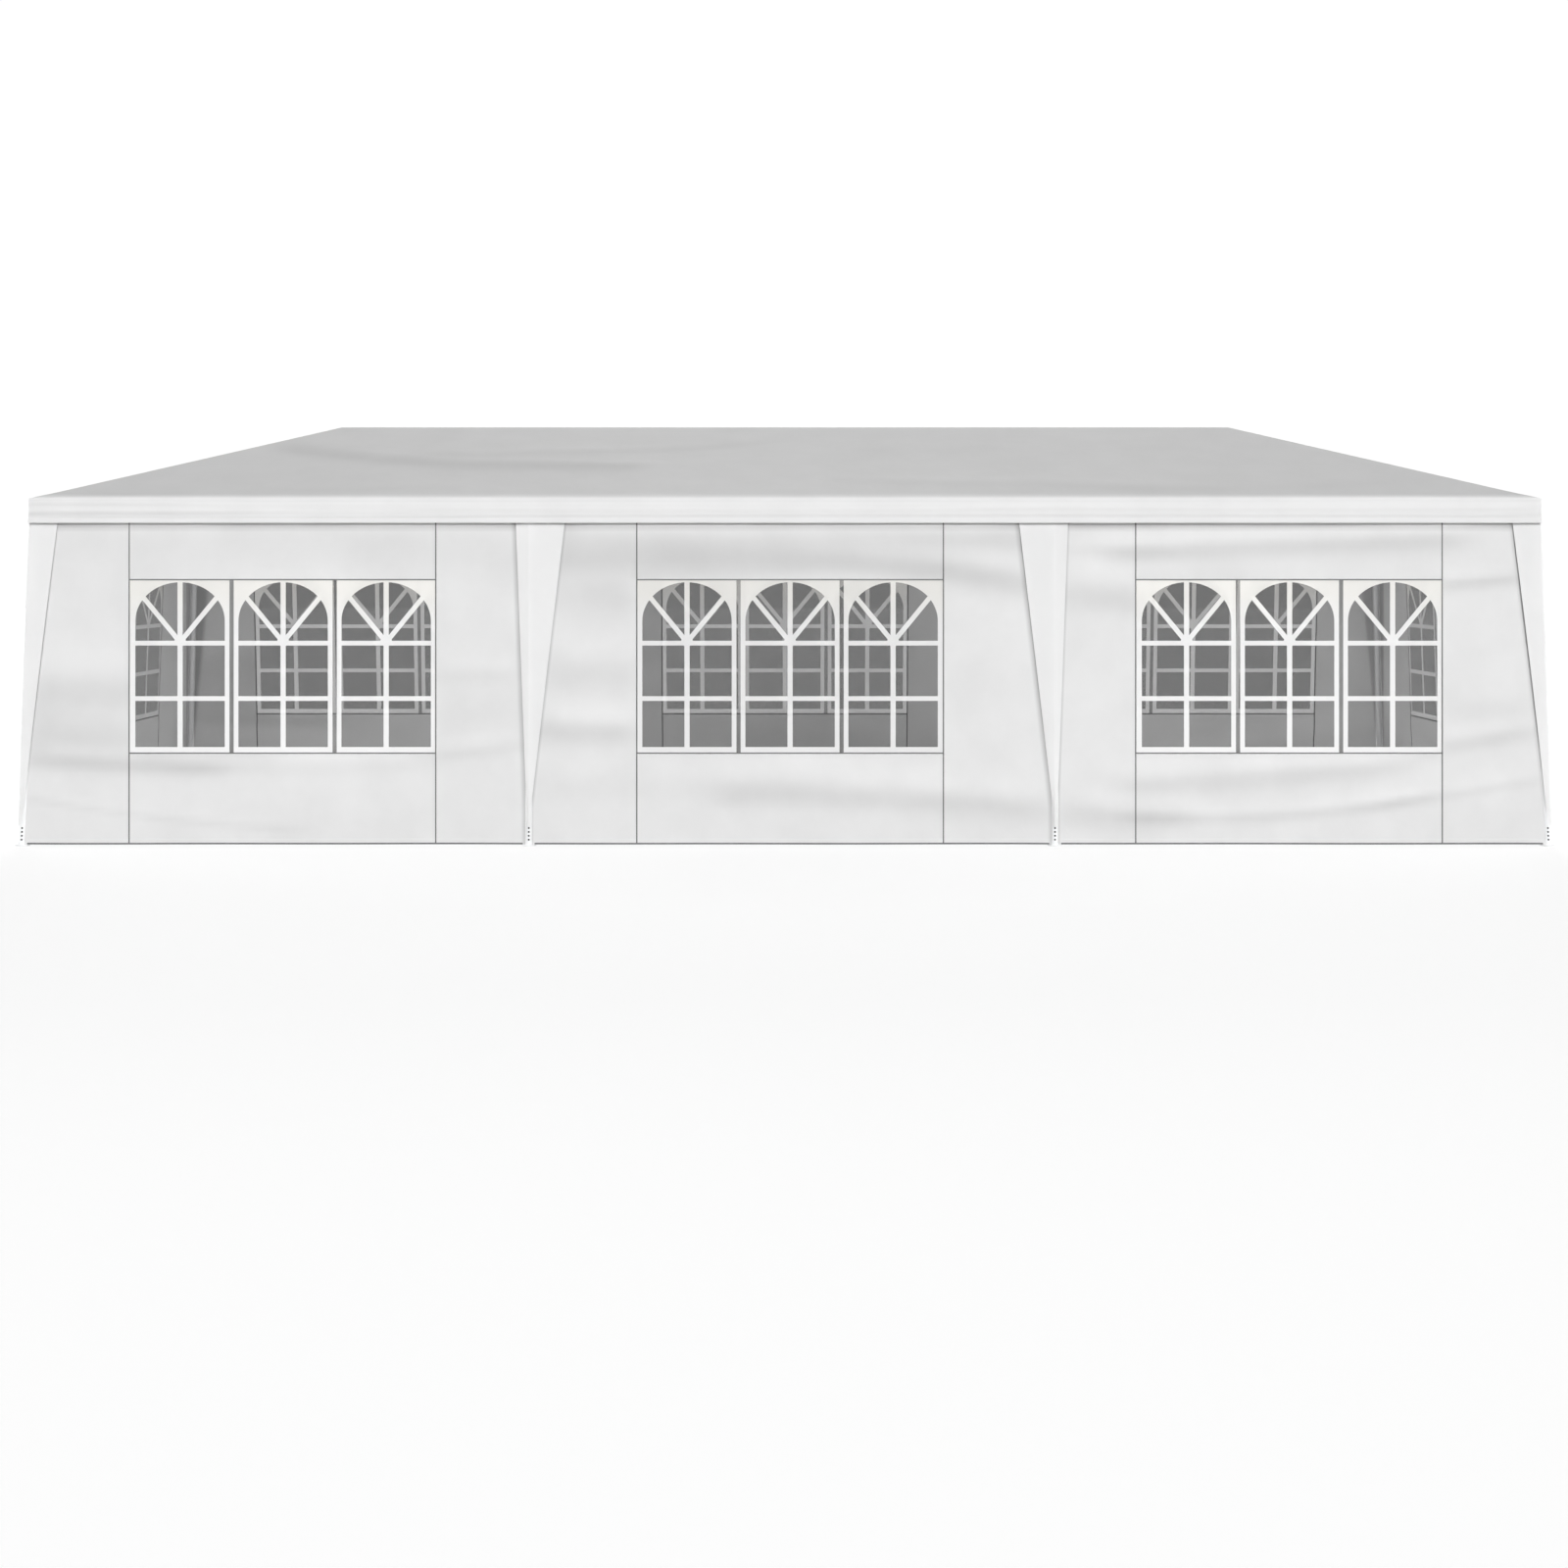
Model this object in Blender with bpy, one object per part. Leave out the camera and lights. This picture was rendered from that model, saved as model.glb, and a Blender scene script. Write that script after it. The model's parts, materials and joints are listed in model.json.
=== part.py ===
"""Marquee party tent: a hipped fabric cover and eight window walls on a frame of steel tube.

The frame is in metres with +Z up. The origin lies on the ground at the centre of the tent,
X runs along the ridge and -Y is the long side with the front walls.
"""

import math

import bmesh
import bpy
from mathutils import Matrix, Vector

# Cover
COVER_LENGTH = 9.0
COVER_WIDTH = 3.0
EAVE_HEIGHT = 2.055
RIDGE_HEIGHT = 2.60
VALANCE_DROP = 0.138
COVER_THICKNESS = 0.003

# Leg drapes: the tapering strips that hang from the valance over each leg
DRAPE_TIP_HEIGHT = 0.118
DRAPE_TIP_HALF_WIDTH = 0.0145
CORNER_DRAPE_TOP_WIDTH = 0.172
CORNER_TIP_WIDTH = 0.040
MIDDLE_DRAPE_TOP_OUTER = 0.090
MIDDLE_DRAPE_TOP_INNER = 0.205

# Frame
RAIL_INSET = 0.04
LEG_SPLAY = 0.07
MIDDLE_LEG_X = (-1.520, 1.602)
LEG_RADIUS = 0.019
TUBE_RADIUS = 0.016
TUBE_SIDES = 16

# Fittings: a round hub with a sleeve for each tube
HUB_RADIUS = 0.0225
LEG_SLEEVE_RADIUS = 0.022
TUBE_SLEEVE_RADIUS = 0.019
SLEEVE_LENGTH = 0.10

# Feet
FOOT_RADIUS = 0.042
FOOT_EDGE = 0.003
FOOT_SHOULDER_RADIUS = 0.026
FOOT_SHOULDER_HEIGHT = 0.009
FOOT_COLLAR_RADIUS = 0.0235
FOOT_COLLAR_HEIGHT = 0.026
FOOT_SIDES = 24

# Walls and window film
WALL_THICKNESS = 0.003
WALL_GROUND_CLEARANCE = 0.010
WALL_TO_LEG = 0.020
FRONT_WALL_WINDOW_WIDTH = 1.824
FRONT_WALL_WINDOW_SILL = 0.548
FRONT_WALL_WINDOW_HEIGHT = 1.030
BACK_WALL_WINDOW_WIDTH = 1.865
BACK_WALL_WINDOW_SILL = 0.536
BACK_WALL_WINDOW_HEIGHT = 1.052
END_WALL_WINDOW_WIDTH = 1.700
END_WALL_WINDOW_SILL = 0.580
END_WALL_WINDOW_HEIGHT = 1.030
FRONT_WINDOW_CENTRES = (-2.990, 0.030, 2.998)
BACK_WINDOW_CENTRES = (-3.090, 0.0, 3.102)
FILM_THICKNESS = 0.001
FILM_LAP = 0.020

# Faces that touch keep this much air between them
SEAT_GAP = 0.0003

# Worked out from the driving dimensions
RIDGE_LENGTH = COVER_LENGTH - COVER_WIDTH
ROOF_PITCH = (RIDGE_HEIGHT - EAVE_HEIGHT) / (COVER_WIDTH / 2)
ROOF_COSINE = 1 / math.sqrt(1 + ROOF_PITCH**2)
NODE_DROP = (COVER_THICKNESS + SEAT_GAP + HUB_RADIUS) / ROOF_COSINE
RAIL_HALF_LENGTH = COVER_LENGTH / 2 - RAIL_INSET
RAIL_HALF_WIDTH = COVER_WIDTH / 2 - RAIL_INSET
RAIL_HEIGHT = EAVE_HEIGHT + ROOF_PITCH * RAIL_INSET - NODE_DROP
RIDGE_TUBE_HEIGHT = RIDGE_HEIGHT - NODE_DROP
SPLAY_ANGLE = math.atan2(LEG_SPLAY, RAIL_HEIGHT)
WALL_OFFSET = TUBE_SLEEVE_RADIUS + SEAT_GAP
DRAPE_OFFSET = WALL_OFFSET + WALL_THICKNESS + 2 * SEAT_GAP

# Each long side is divided by its legs into three bays
LEG_NAMES = ("left", "mid_left", "mid_right", "right")
BAY_NAMES = ("left", "middle", "right")
LEG_TOP_X = (-RAIL_HALF_LENGTH, *MIDDLE_LEG_X, RAIL_HALF_LENGTH)
LEG_FOOT_X = (
    -RAIL_HALF_LENGTH - LEG_SPLAY,
    *MIDDLE_LEG_X,
    RAIL_HALF_LENGTH + LEG_SPLAY,
)
LONG_SIDES = (("front", -1), ("back", 1))
RIDGE_NODE_X = (-RIDGE_LENGTH / 2, *MIDDLE_LEG_X, RIDGE_LENGTH / 2)


def clear_scene():
    for obj in list(bpy.data.objects):
        bpy.data.objects.remove(obj, do_unlink=True)


def make_material(name, colour, roughness, metallic=0.0, alpha=1.0):
    material = bpy.data.materials.new(name)
    material.use_nodes = True
    shader = material.node_tree.nodes["Principled BSDF"]
    shader.inputs["Base Color"].default_value = (*colour, 1.0)
    shader.inputs["Roughness"].default_value = roughness
    shader.inputs["Metallic"].default_value = metallic
    shader.inputs["Alpha"].default_value = alpha
    return material


def add_object(name, mesh, material=None, parent=None):
    obj = bpy.data.objects.new(name, mesh)
    bpy.context.scene.collection.objects.link(obj)
    obj.parent = parent
    if material:
        mesh.materials.clear()
        mesh.materials.append(material)
    return obj


def add_empty(name, location, rotation):
    empty = bpy.data.objects.new(name, None)
    bpy.context.scene.collection.objects.link(empty)
    empty.location = location
    empty.rotation_euler = rotation
    return empty


def mesh_from_bmesh(name, bm, smooth_angle=None):
    bmesh.ops.recalc_face_normals(bm, faces=bm.faces)
    mesh = bpy.data.meshes.new(name)
    bm.to_mesh(mesh)
    bm.free()
    if smooth_angle is not None:
        mesh.shade_smooth()
        mesh.set_sharp_from_angle(angle=math.radians(smooth_angle))
    return mesh


def rod_mesh(name, radius, length, sides=TUBE_SIDES):
    """A rod that stands on its own origin and runs up its Z axis."""
    bm = bmesh.new()
    bmesh.ops.create_cone(
        bm,
        cap_ends=True,
        segments=sides,
        radius1=radius,
        radius2=radius,
        depth=length,
        matrix=Matrix.Translation((0, 0, length / 2)),
    )
    return mesh_from_bmesh(name, bm, smooth_angle=40)


def turned_mesh(name, profile, sides):
    """A solid turned round Z from (radius, height) points that start and end on the axis."""
    bm = bmesh.new()
    verts = [bm.verts.new((radius, 0, height)) for radius, height in profile]
    edges = [bm.edges.new(pair) for pair in zip(verts, verts[1:])]
    bmesh.ops.spin(
        bm,
        geom=verts + edges,
        cent=(0, 0, 0),
        axis=(0, 0, 1),
        angle=2 * math.pi,
        steps=sides,
        use_merge=True,
    )
    bmesh.ops.remove_doubles(bm, verts=bm.verts, dist=0.00001)
    return mesh_from_bmesh(name, bm, smooth_angle=40)


def aim(obj, start, direction):
    """Places obj at start with its own Z axis along direction."""
    obj.location = start
    obj.rotation_mode = "QUATERNION"
    obj.rotation_quaternion = direction.to_track_quat("Z", "Y")


def join_with(obj, helper):
    """Adds a helper solid to obj by a Boolean, and leaves the helper out of the part."""
    helper.hide_render = True
    helper.display_type = "WIRE"
    union = obj.modifiers.new("join_" + helper.name, "BOOLEAN")
    union.operation = "UNION"
    union.solver = "EXACT"
    union.object = helper


def add_tube(name, start, end, radius, material):
    """A tube between two frame nodes, which stops short of each at the fitting's sleeve."""
    direction = (end - start).normalized()
    inset = SLEEVE_LENGTH + SEAT_GAP
    length = (end - start).length - 2 * inset
    tube = add_object(name, rod_mesh(name, radius, length), material)
    aim(tube, start + direction * inset, direction)
    return tube


def add_fitting(name, node, arms, material):
    """A hub at a frame node with one sleeve along each arm, given as (far end, sleeve radius)."""
    bm = bmesh.new()
    bmesh.ops.create_uvsphere(bm, u_segments=16, v_segments=10, radius=HUB_RADIUS)
    hub = add_object(name, mesh_from_bmesh(name, bm, smooth_angle=40), material)
    hub.location = node
    for index, (far_end, radius) in enumerate(arms):
        helper_name = f"{name}_sleeve_{index}"
        sleeve = add_object(
            helper_name, rod_mesh(helper_name, radius, SLEEVE_LENGTH), parent=hub
        )
        aim(sleeve, Vector((0, 0, 0)), far_end - node)
        join_with(hub, sleeve)
    return hub


def add_leg(name, top, foot, material):
    """A leg tube with a pressed foot plate welded to it, from the fitting down to the ground."""
    profile = (
        (0, 0),
        (FOOT_RADIUS, 0),
        (FOOT_RADIUS, FOOT_EDGE),
        (FOOT_SHOULDER_RADIUS, FOOT_SHOULDER_HEIGHT),
        (FOOT_COLLAR_RADIUS, FOOT_COLLAR_HEIGHT),
        (0, FOOT_COLLAR_HEIGHT),
    )
    leg = add_object(name, turned_mesh(name, profile, FOOT_SIDES), material)
    leg.location = foot
    direction = (top - foot).normalized()
    start = direction * (FOOT_COLLAR_HEIGHT / 2)
    length = (top - foot).length - SLEEVE_LENGTH - SEAT_GAP - start.length
    tube_name = name + "_tube"
    tube = add_object(tube_name, rod_mesh(tube_name, LEG_RADIUS, length), parent=leg)
    aim(tube, start, direction)
    join_with(leg, tube)
    return leg


def cover_skin(depth):
    """The corners of the cover's outer skin (depth 0), or of a skin that lies depth inside it."""
    half_length = COVER_LENGTH / 2 - depth
    half_width = COVER_WIDTH / 2 - depth
    sink = depth / ROOF_COSINE
    eave = EAVE_HEIGHT + ROOF_PITCH * depth - sink
    hem = EAVE_HEIGHT - VALANCE_DROP
    tip_out = LEG_SPLAY * (RAIL_HEIGHT - DRAPE_TIP_HEIGHT) / RAIL_HEIGHT
    tip_out += DRAPE_OFFSET + COVER_THICKNESS - depth
    tip_x = RAIL_HALF_LENGTH + tip_out
    tip_y = RAIL_HALF_WIDTH + tip_out
    points = {}
    for name, side in (("left", -1), ("right", 1)):
        points["ridge", name] = (side * RIDGE_LENGTH / 2, 0, RIDGE_HEIGHT - sink)
    for row, out in LONG_SIDES:
        for name, side in (("left", -1), ("right", 1)):
            x, y = side * half_length, out * half_width
            across_x = side * (COVER_LENGTH / 2 - CORNER_DRAPE_TOP_WIDTH)
            across_y = out * (COVER_WIDTH / 2 - CORNER_DRAPE_TOP_WIDTH)
            tip_across_x = side * (tip_x - CORNER_TIP_WIDTH)
            tip_across_y = out * (tip_y - CORNER_TIP_WIDTH)
            points["eave", row, name] = (x, y, eave)
            points["hem", row, name] = (x, y, hem)
            points["hem_along", row, name] = (across_x, y, hem)
            points["hem_round", row, name] = (x, across_y, hem)
            points["tip", row, name] = (side * tip_x, out * tip_y, DRAPE_TIP_HEIGHT)
            points["tip_along", row, name] = (
                tip_across_x,
                out * tip_y,
                DRAPE_TIP_HEIGHT,
            )
            points["tip_round", row, name] = (
                side * tip_x,
                tip_across_y,
                DRAPE_TIP_HEIGHT,
            )
        for name, leg_x in zip(("mid_left", "mid_right"), MIDDLE_LEG_X):
            side = math.copysign(1, leg_x)
            y = out * half_width
            outer_x = leg_x + side * MIDDLE_DRAPE_TOP_OUTER
            inner_x = leg_x - side * MIDDLE_DRAPE_TOP_INNER
            tip_outer_x = leg_x + side * DRAPE_TIP_HALF_WIDTH
            tip_inner_x = leg_x - side * DRAPE_TIP_HALF_WIDTH
            points["hem_outer", row, name] = (outer_x, y, hem)
            points["hem_inner", row, name] = (inner_x, y, hem)
            points["tip_outer", row, name] = (
                tip_outer_x,
                out * tip_y,
                DRAPE_TIP_HEIGHT,
            )
            points["tip_inner", row, name] = (
                tip_inner_x,
                out * tip_y,
                DRAPE_TIP_HEIGHT,
            )
    return points


def cover_faces():
    """The faces of one skin as lists of point names: roof slopes, valance and drapes."""
    faces = []
    for row, _ in LONG_SIDES:
        faces.append(
            [
                ("eave", row, "left"),
                ("eave", row, "right"),
                ("ridge", "right"),
                ("ridge", "left"),
            ]
        )
        faces.append(
            [
                ("eave", row, "right"),
                ("eave", row, "left"),
                ("hem", row, "left"),
                ("hem_along", row, "left"),
                ("hem_outer", row, "mid_left"),
                ("hem_inner", row, "mid_left"),
                ("hem_inner", row, "mid_right"),
                ("hem_outer", row, "mid_right"),
                ("hem_along", row, "right"),
                ("hem", row, "right"),
            ]
        )
        for name in ("mid_left", "mid_right"):
            faces.append(
                [
                    ("hem_outer", row, name),
                    ("hem_inner", row, name),
                    ("tip_inner", row, name),
                    ("tip_outer", row, name),
                ]
            )
    for name in ("left", "right"):
        faces.append(
            [("eave", "front", name), ("eave", "back", name), ("ridge", name)]
        )
        faces.append(
            [
                ("eave", "front", name),
                ("eave", "back", name),
                ("hem", "back", name),
                ("hem_round", "back", name),
                ("hem_round", "front", name),
                ("hem", "front", name),
            ]
        )
        for row, _ in LONG_SIDES:
            for kind in ("along", "round"):
                faces.append(
                    [
                        ("hem", row, name),
                        ("hem_" + kind, row, name),
                        ("tip_" + kind, row, name),
                        ("tip", row, name),
                    ]
                )
    return faces


def add_cover(material):
    """The sewn cover: two skins a fabric's thickness apart, closed along every free edge."""
    bm = bmesh.new()
    skins = []
    for depth in (0, COVER_THICKNESS):
        points = cover_skin(depth)
        verts = {key: bm.verts.new(point) for key, point in points.items()}
        faces = [bm.faces.new([verts[key] for key in face]) for face in cover_faces()]
        skins.append((verts, faces))
    outer, inner = skins[0][0], skins[1][0]
    partner = {outer[key]: inner[key] for key in outer}
    free_edges = [edge for edge in bm.edges if edge.is_boundary]
    for edge in free_edges:
        first, second = edge.verts
        if first in partner:
            bm.faces.new((first, second, partner[second], partner[first]))
    return add_object("canopy_cover", mesh_from_bmesh("canopy_cover", bm), material)


def panel_mesh(name, outline, thickness, opening=None):
    """A flat sheet in the XZ plane, as thick as asked towards -Y, with one opening cut in it."""
    bm = bmesh.new()
    outer = [bm.verts.new((x, 0, z)) for x, z in outline]
    edges = [bm.edges.new(pair) for pair in zip(outer, outer[1:] + outer[:1])]
    if opening:
        inner = [bm.verts.new((x, 0, z)) for x, z in opening]
        edges += [bm.edges.new(pair) for pair in zip(inner, inner[1:] + inner[:1])]
        sheet = bmesh.ops.bridge_loops(bm, edges=edges)["faces"]
    else:
        sheet = [bm.faces.new(outer)]
    grown = bmesh.ops.extrude_face_region(bm, geom=sheet)["geom"]
    moved = [item for item in grown if isinstance(item, bmesh.types.BMVert)]
    bmesh.ops.translate(bm, verts=moved, vec=(0, -thickness, 0))
    return mesh_from_bmesh(name, bm)


def slant(height):
    """Where a height above the ground lies on a splayed side, measured down from the rail."""
    return (height - RAIL_HEIGHT) / math.cos(SPLAY_ANGLE)


def spread(height):
    """How far a corner leg has moved outwards at this height."""
    return LEG_SPLAY * (RAIL_HEIGHT - height) / RAIL_HEIGHT


def rectangle(left, right, bottom, top):
    return [(left, bottom), (right, bottom), (right, top), (left, top)]


def add_wall(name, side, start, end, window, materials):
    """One fabric wall and its window film, hung on a side between two legs.

    start and end are (leg position at the rail, 1 where that leg is a corner leg that splays).
    window is (centre along the wall, width, height of its sill, height of the window).
    """
    bottom = slant(WALL_GROUND_CLEARANCE)
    lean = spread(WALL_GROUND_CLEARANCE)
    left_x, left_leans = start
    right_x, right_leans = end
    outline = [
        (left_x + WALL_TO_LEG - lean * left_leans, bottom),
        (right_x - WALL_TO_LEG + lean * right_leans, bottom),
        (right_x - WALL_TO_LEG, 0),
        (left_x + WALL_TO_LEG, 0),
    ]
    centre, width, sill_height, window_height = window
    half = width / 2
    sill, head = slant(sill_height), slant(sill_height + window_height)
    opening = rectangle(centre - half, centre + half, sill, head)
    wall_name, film_name = "wall_" + name, "window_film_" + name
    wall = add_object(
        wall_name,
        panel_mesh(wall_name, outline, WALL_THICKNESS, opening),
        materials["fabric"],
        side,
    )
    wall.location = (0, -WALL_OFFSET, 0)
    lap = half + FILM_LAP
    film_outline = rectangle(
        centre - lap, centre + lap, sill - FILM_LAP, head + FILM_LAP
    )
    film = add_object(
        film_name,
        panel_mesh(film_name, film_outline, FILM_THICKNESS),
        materials["film"],
        side,
    )
    film.location = (0, SEAT_GAP + FILM_THICKNESS - WALL_OFFSET, 0)


def rail_node(index, out):
    return Vector((LEG_TOP_X[index], out * RAIL_HALF_WIDTH, RAIL_HEIGHT))


def foot_point(index, out):
    return Vector((LEG_FOOT_X[index], out * (RAIL_HALF_WIDTH + LEG_SPLAY), 0))


def ridge_node(index):
    return Vector((RIDGE_NODE_X[index], 0, RIDGE_TUBE_HEIGHT))


def build_frame(materials):
    steel, plastic = materials["steel"], materials["fitting"]
    for row, out in LONG_SIDES:
        for index, leg_name in enumerate(LEG_NAMES):
            node = rail_node(index, out)
            foot = foot_point(index, out)
            add_leg(f"leg_{row}_{leg_name}", node, foot, steel)
            arms = [(foot, LEG_SLEEVE_RADIUS), (ridge_node(index), TUBE_SLEEVE_RADIUS)]
            for near in (index - 1, index + 1):
                if 0 <= near < len(LEG_NAMES):
                    arms.append((rail_node(near, out), TUBE_SLEEVE_RADIUS))
            is_corner = index in (0, len(LEG_NAMES) - 1)
            if is_corner:
                arms.append((rail_node(index, -out), TUBE_SLEEVE_RADIUS))
            kind = "corner" if is_corner else "eave"
            add_fitting(f"{kind}_fitting_{row}_{leg_name}", node, arms, plastic)
            kind = "hip_rafter" if is_corner else "rafter"
            add_tube(
                f"{kind}_{row}_{leg_name}", node, ridge_node(index), TUBE_RADIUS, steel
            )
        for index, bay in enumerate(BAY_NAMES):
            start, end = rail_node(index, out), rail_node(index + 1, out)
            add_tube(f"eave_rail_{row}_{bay}", start, end, TUBE_RADIUS, steel)
    for index in (0, len(LEG_NAMES) - 1):
        start, end = rail_node(index, -1), rail_node(index, 1)
        add_tube(f"eave_rail_{LEG_NAMES[index]}", start, end, TUBE_RADIUS, steel)
    for index, leg_name in enumerate(LEG_NAMES):
        arms = [(rail_node(index, out), TUBE_SLEEVE_RADIUS) for _, out in LONG_SIDES]
        for near in (index - 1, index + 1):
            if 0 <= near < len(LEG_NAMES):
                arms.append((ridge_node(near), TUBE_SLEEVE_RADIUS))
        add_fitting(f"ridge_fitting_{leg_name}", ridge_node(index), arms, plastic)
    for index, bay in enumerate(BAY_NAMES):
        start, end = ridge_node(index), ridge_node(index + 1)
        add_tube(f"ridge_tube_{bay}", start, end, TUBE_RADIUS, steel)


def add_side(name, distance, quarter_turns):
    """An empty on a side's rail line, with X to the right seen from outside and -Y outwards."""
    turn = quarter_turns * math.pi / 2
    outwards = Vector((math.sin(turn), -math.cos(turn), 0))
    location = outwards * distance + Vector((0, 0, RAIL_HEIGHT))
    return add_empty(name + "_side", location, (-SPLAY_ANGLE, 0, turn))


def build_walls(materials):
    sides = {
        "front": add_side("front", RAIL_HALF_WIDTH, 0),
        "right": add_side("right", RAIL_HALF_LENGTH, 1),
        "back": add_side("back", RAIL_HALF_WIDTH, 2),
        "left": add_side("left", RAIL_HALF_LENGTH, 3),
    }
    front_window = (
        FRONT_WALL_WINDOW_WIDTH,
        FRONT_WALL_WINDOW_SILL,
        FRONT_WALL_WINDOW_HEIGHT,
    )
    back_window = (
        BACK_WALL_WINDOW_WIDTH,
        BACK_WALL_WINDOW_SILL,
        BACK_WALL_WINDOW_HEIGHT,
    )
    end_window = (
        0.0,
        END_WALL_WINDOW_WIDTH,
        END_WALL_WINDOW_SILL,
        END_WALL_WINDOW_HEIGHT,
    )
    last_bay = len(BAY_NAMES) - 1
    for index, bay in enumerate(BAY_NAMES):
        low = (LEG_TOP_X[index], index == 0)
        high = (LEG_TOP_X[index + 1], index == last_bay)
        window = (FRONT_WINDOW_CENTRES[index], *front_window)
        add_wall(f"front_{bay}", sides["front"], low, high, window, materials)
        # Seen from behind, the bays run the other way
        low, high = (-high[0], high[1]), (-low[0], low[1])
        window = (-BACK_WINDOW_CENTRES[index], *back_window)
        add_wall(f"back_{bay}", sides["back"], low, high, window, materials)
    for name in ("left", "right"):
        low, high = (-RAIL_HALF_WIDTH, True), (RAIL_HALF_WIDTH, True)
        add_wall(name, sides[name], low, high, end_window, materials)


def main():
    clear_scene()
    materials = {
        "fabric": make_material("white_polyethylene", (0.80, 0.80, 0.80), 0.55),
        "film": make_material("clear_film", (0.03, 0.03, 0.03), 0.12, alpha=0.58),
        "steel": make_material("white_coated_steel", (0.82, 0.82, 0.82), 0.35, 0.2),
        "fitting": make_material("white_plastic", (0.75, 0.75, 0.76), 0.5),
    }
    build_frame(materials)
    add_cover(materials["fabric"])
    build_walls(materials)


main()
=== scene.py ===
import json
import math

import bmesh
import bpy
import numpy as np
from mathutils import Matrix, Vector

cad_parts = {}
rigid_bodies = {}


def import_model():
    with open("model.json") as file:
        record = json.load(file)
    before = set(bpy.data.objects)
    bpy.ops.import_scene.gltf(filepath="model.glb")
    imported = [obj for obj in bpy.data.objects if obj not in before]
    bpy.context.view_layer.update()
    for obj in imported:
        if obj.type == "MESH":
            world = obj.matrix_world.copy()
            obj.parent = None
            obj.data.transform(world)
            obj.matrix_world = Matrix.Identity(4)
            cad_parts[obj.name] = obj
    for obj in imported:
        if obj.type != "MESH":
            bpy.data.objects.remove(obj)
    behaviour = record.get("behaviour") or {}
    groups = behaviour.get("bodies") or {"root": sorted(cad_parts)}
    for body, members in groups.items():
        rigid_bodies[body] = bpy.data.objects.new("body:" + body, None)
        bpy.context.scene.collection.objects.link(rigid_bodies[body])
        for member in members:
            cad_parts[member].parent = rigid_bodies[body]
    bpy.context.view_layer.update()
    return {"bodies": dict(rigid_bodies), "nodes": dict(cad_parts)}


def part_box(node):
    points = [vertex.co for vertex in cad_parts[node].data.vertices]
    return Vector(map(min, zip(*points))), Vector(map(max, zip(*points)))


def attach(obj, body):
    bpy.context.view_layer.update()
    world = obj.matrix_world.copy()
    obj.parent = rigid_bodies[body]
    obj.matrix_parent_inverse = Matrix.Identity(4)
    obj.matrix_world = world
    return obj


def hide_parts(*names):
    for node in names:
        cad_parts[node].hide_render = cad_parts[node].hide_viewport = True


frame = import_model()
print("marquee: frame loaded,", len(frame["nodes"]), "nodes")

# Shared places, read from the frame. X runs along the ridge, the front walls face -Y, Z is up.
railLow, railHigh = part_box("eave_rail_front_middle")
endRailLow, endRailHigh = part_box("eave_rail_right")
footLow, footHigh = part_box("leg_front_mid_left")
footRadius = (footHigh.x - footLow.x) / 2
tent = {
    "railHalfWidth": -(railLow.y + railHigh.y) / 2,
    "railHalfLength": (endRailLow.x + endRailHigh.x) / 2,
    "railHeight": (railLow.z + railHigh.z) / 2,
    "footHalfWidth": -(footLow.y + footRadius),
}
legSplay = tent["footHalfWidth"] - tent["railHalfWidth"]
bodyName = list(frame["bodies"])[0]
legNames = ("left", "mid_left", "mid_right", "right")
bayNames = ("left", "middle", "right")
middleLegX = [sum(corner.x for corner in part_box("leg_front_" + name)) / 2 for name in legNames[1:3]]
legX = [-tent["railHalfLength"], *middleLegX, tent["railHalfLength"]]
rows = {"front": -1, "back": 1}
touch = 0.001  # places closer than this are one place


# Small tools

def toLinear(hexColour):  # "#RRGGBB" to the linear colour that a shader takes
    parts = [int(hexColour[i:i + 2], 16) / 255 for i in (1, 3, 5)]
    return (*[p / 12.92 if p <= 0.04045 else ((p + 0.055) / 1.055) ** 2.4 for p in parts], 1)


def addNode(tree, kind, settings=None, links=None):  # one node, its settings and what feeds it
    node = tree.nodes.new("ShaderNode" + kind)
    for name, value in (settings or {}).items():
        if isinstance(name, int) or name in node.inputs:
            node.inputs[name].default_value = value
        else:
            setattr(node, name, value)
    for name, source in (links or {}).items():
        tree.links.new(source, node.inputs[name])
    return node


def newMaterial(name, settings):
    material = bpy.data.materials.new(name)
    material.use_nodes = True
    shader = material.node_tree.nodes["Principled BSDF"]
    for socket, value in settings.items():
        shader.inputs[socket].default_value = value
    return material, material.node_tree, shader


def objectPlace(tree):
    return addNode(tree, "TexCoord").outputs["Object"]


def addNoise(tree, place, scale, detail, **settings):
    return addNode(tree, "TexNoise", {"Scale": scale, "Detail": detail, **settings}, {"Vector": place})


def addRange(tree, source, before, after=(0.0, 1.0)):  # turns one range of values into another
    names = ("From Min", "From Max", "To Min", "To Max")
    return addNode(tree, "MapRange", dict(zip(names, (*before, *after))), {"Value": source})


def addTone(tree, source, low, high):  # from one colour to another, as the source goes from 0 to 1
    tone = addNode(tree, "ValToRGB", links={0: source.outputs[0]})
    for stop, colour in zip(tone.color_ramp.elements, (low, high)):
        stop.color = toLinear(colour)
    return tone


def addBump(tree, source, strength, distance):
    settings = {"Strength": strength, "Distance": distance}
    return addNode(tree, "Bump", settings, {"Height": source.outputs[0]})


def mixColour(tree, kind, amount, colour, other):  # sockets 6 and 7 take its two colours
    settings = {"data_type": "RGBA", "blend_type": kind, 7: other}
    return addNode(tree, "Mix", settings, {0: amount, 6: colour}).outputs[2]


def mixShaders(tree, share, first, second):
    return addNode(tree, "MixShader", {0: share}, {1: first.outputs[0], 2: second.outputs[0]})


def dress(tree, shader, colour, bump):  # gives the shader its colour and its grain
    tree.links.new(colour, shader.inputs["Base Color"])
    tree.links.new(bump.outputs[0], shader.inputs["Normal"])


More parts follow.
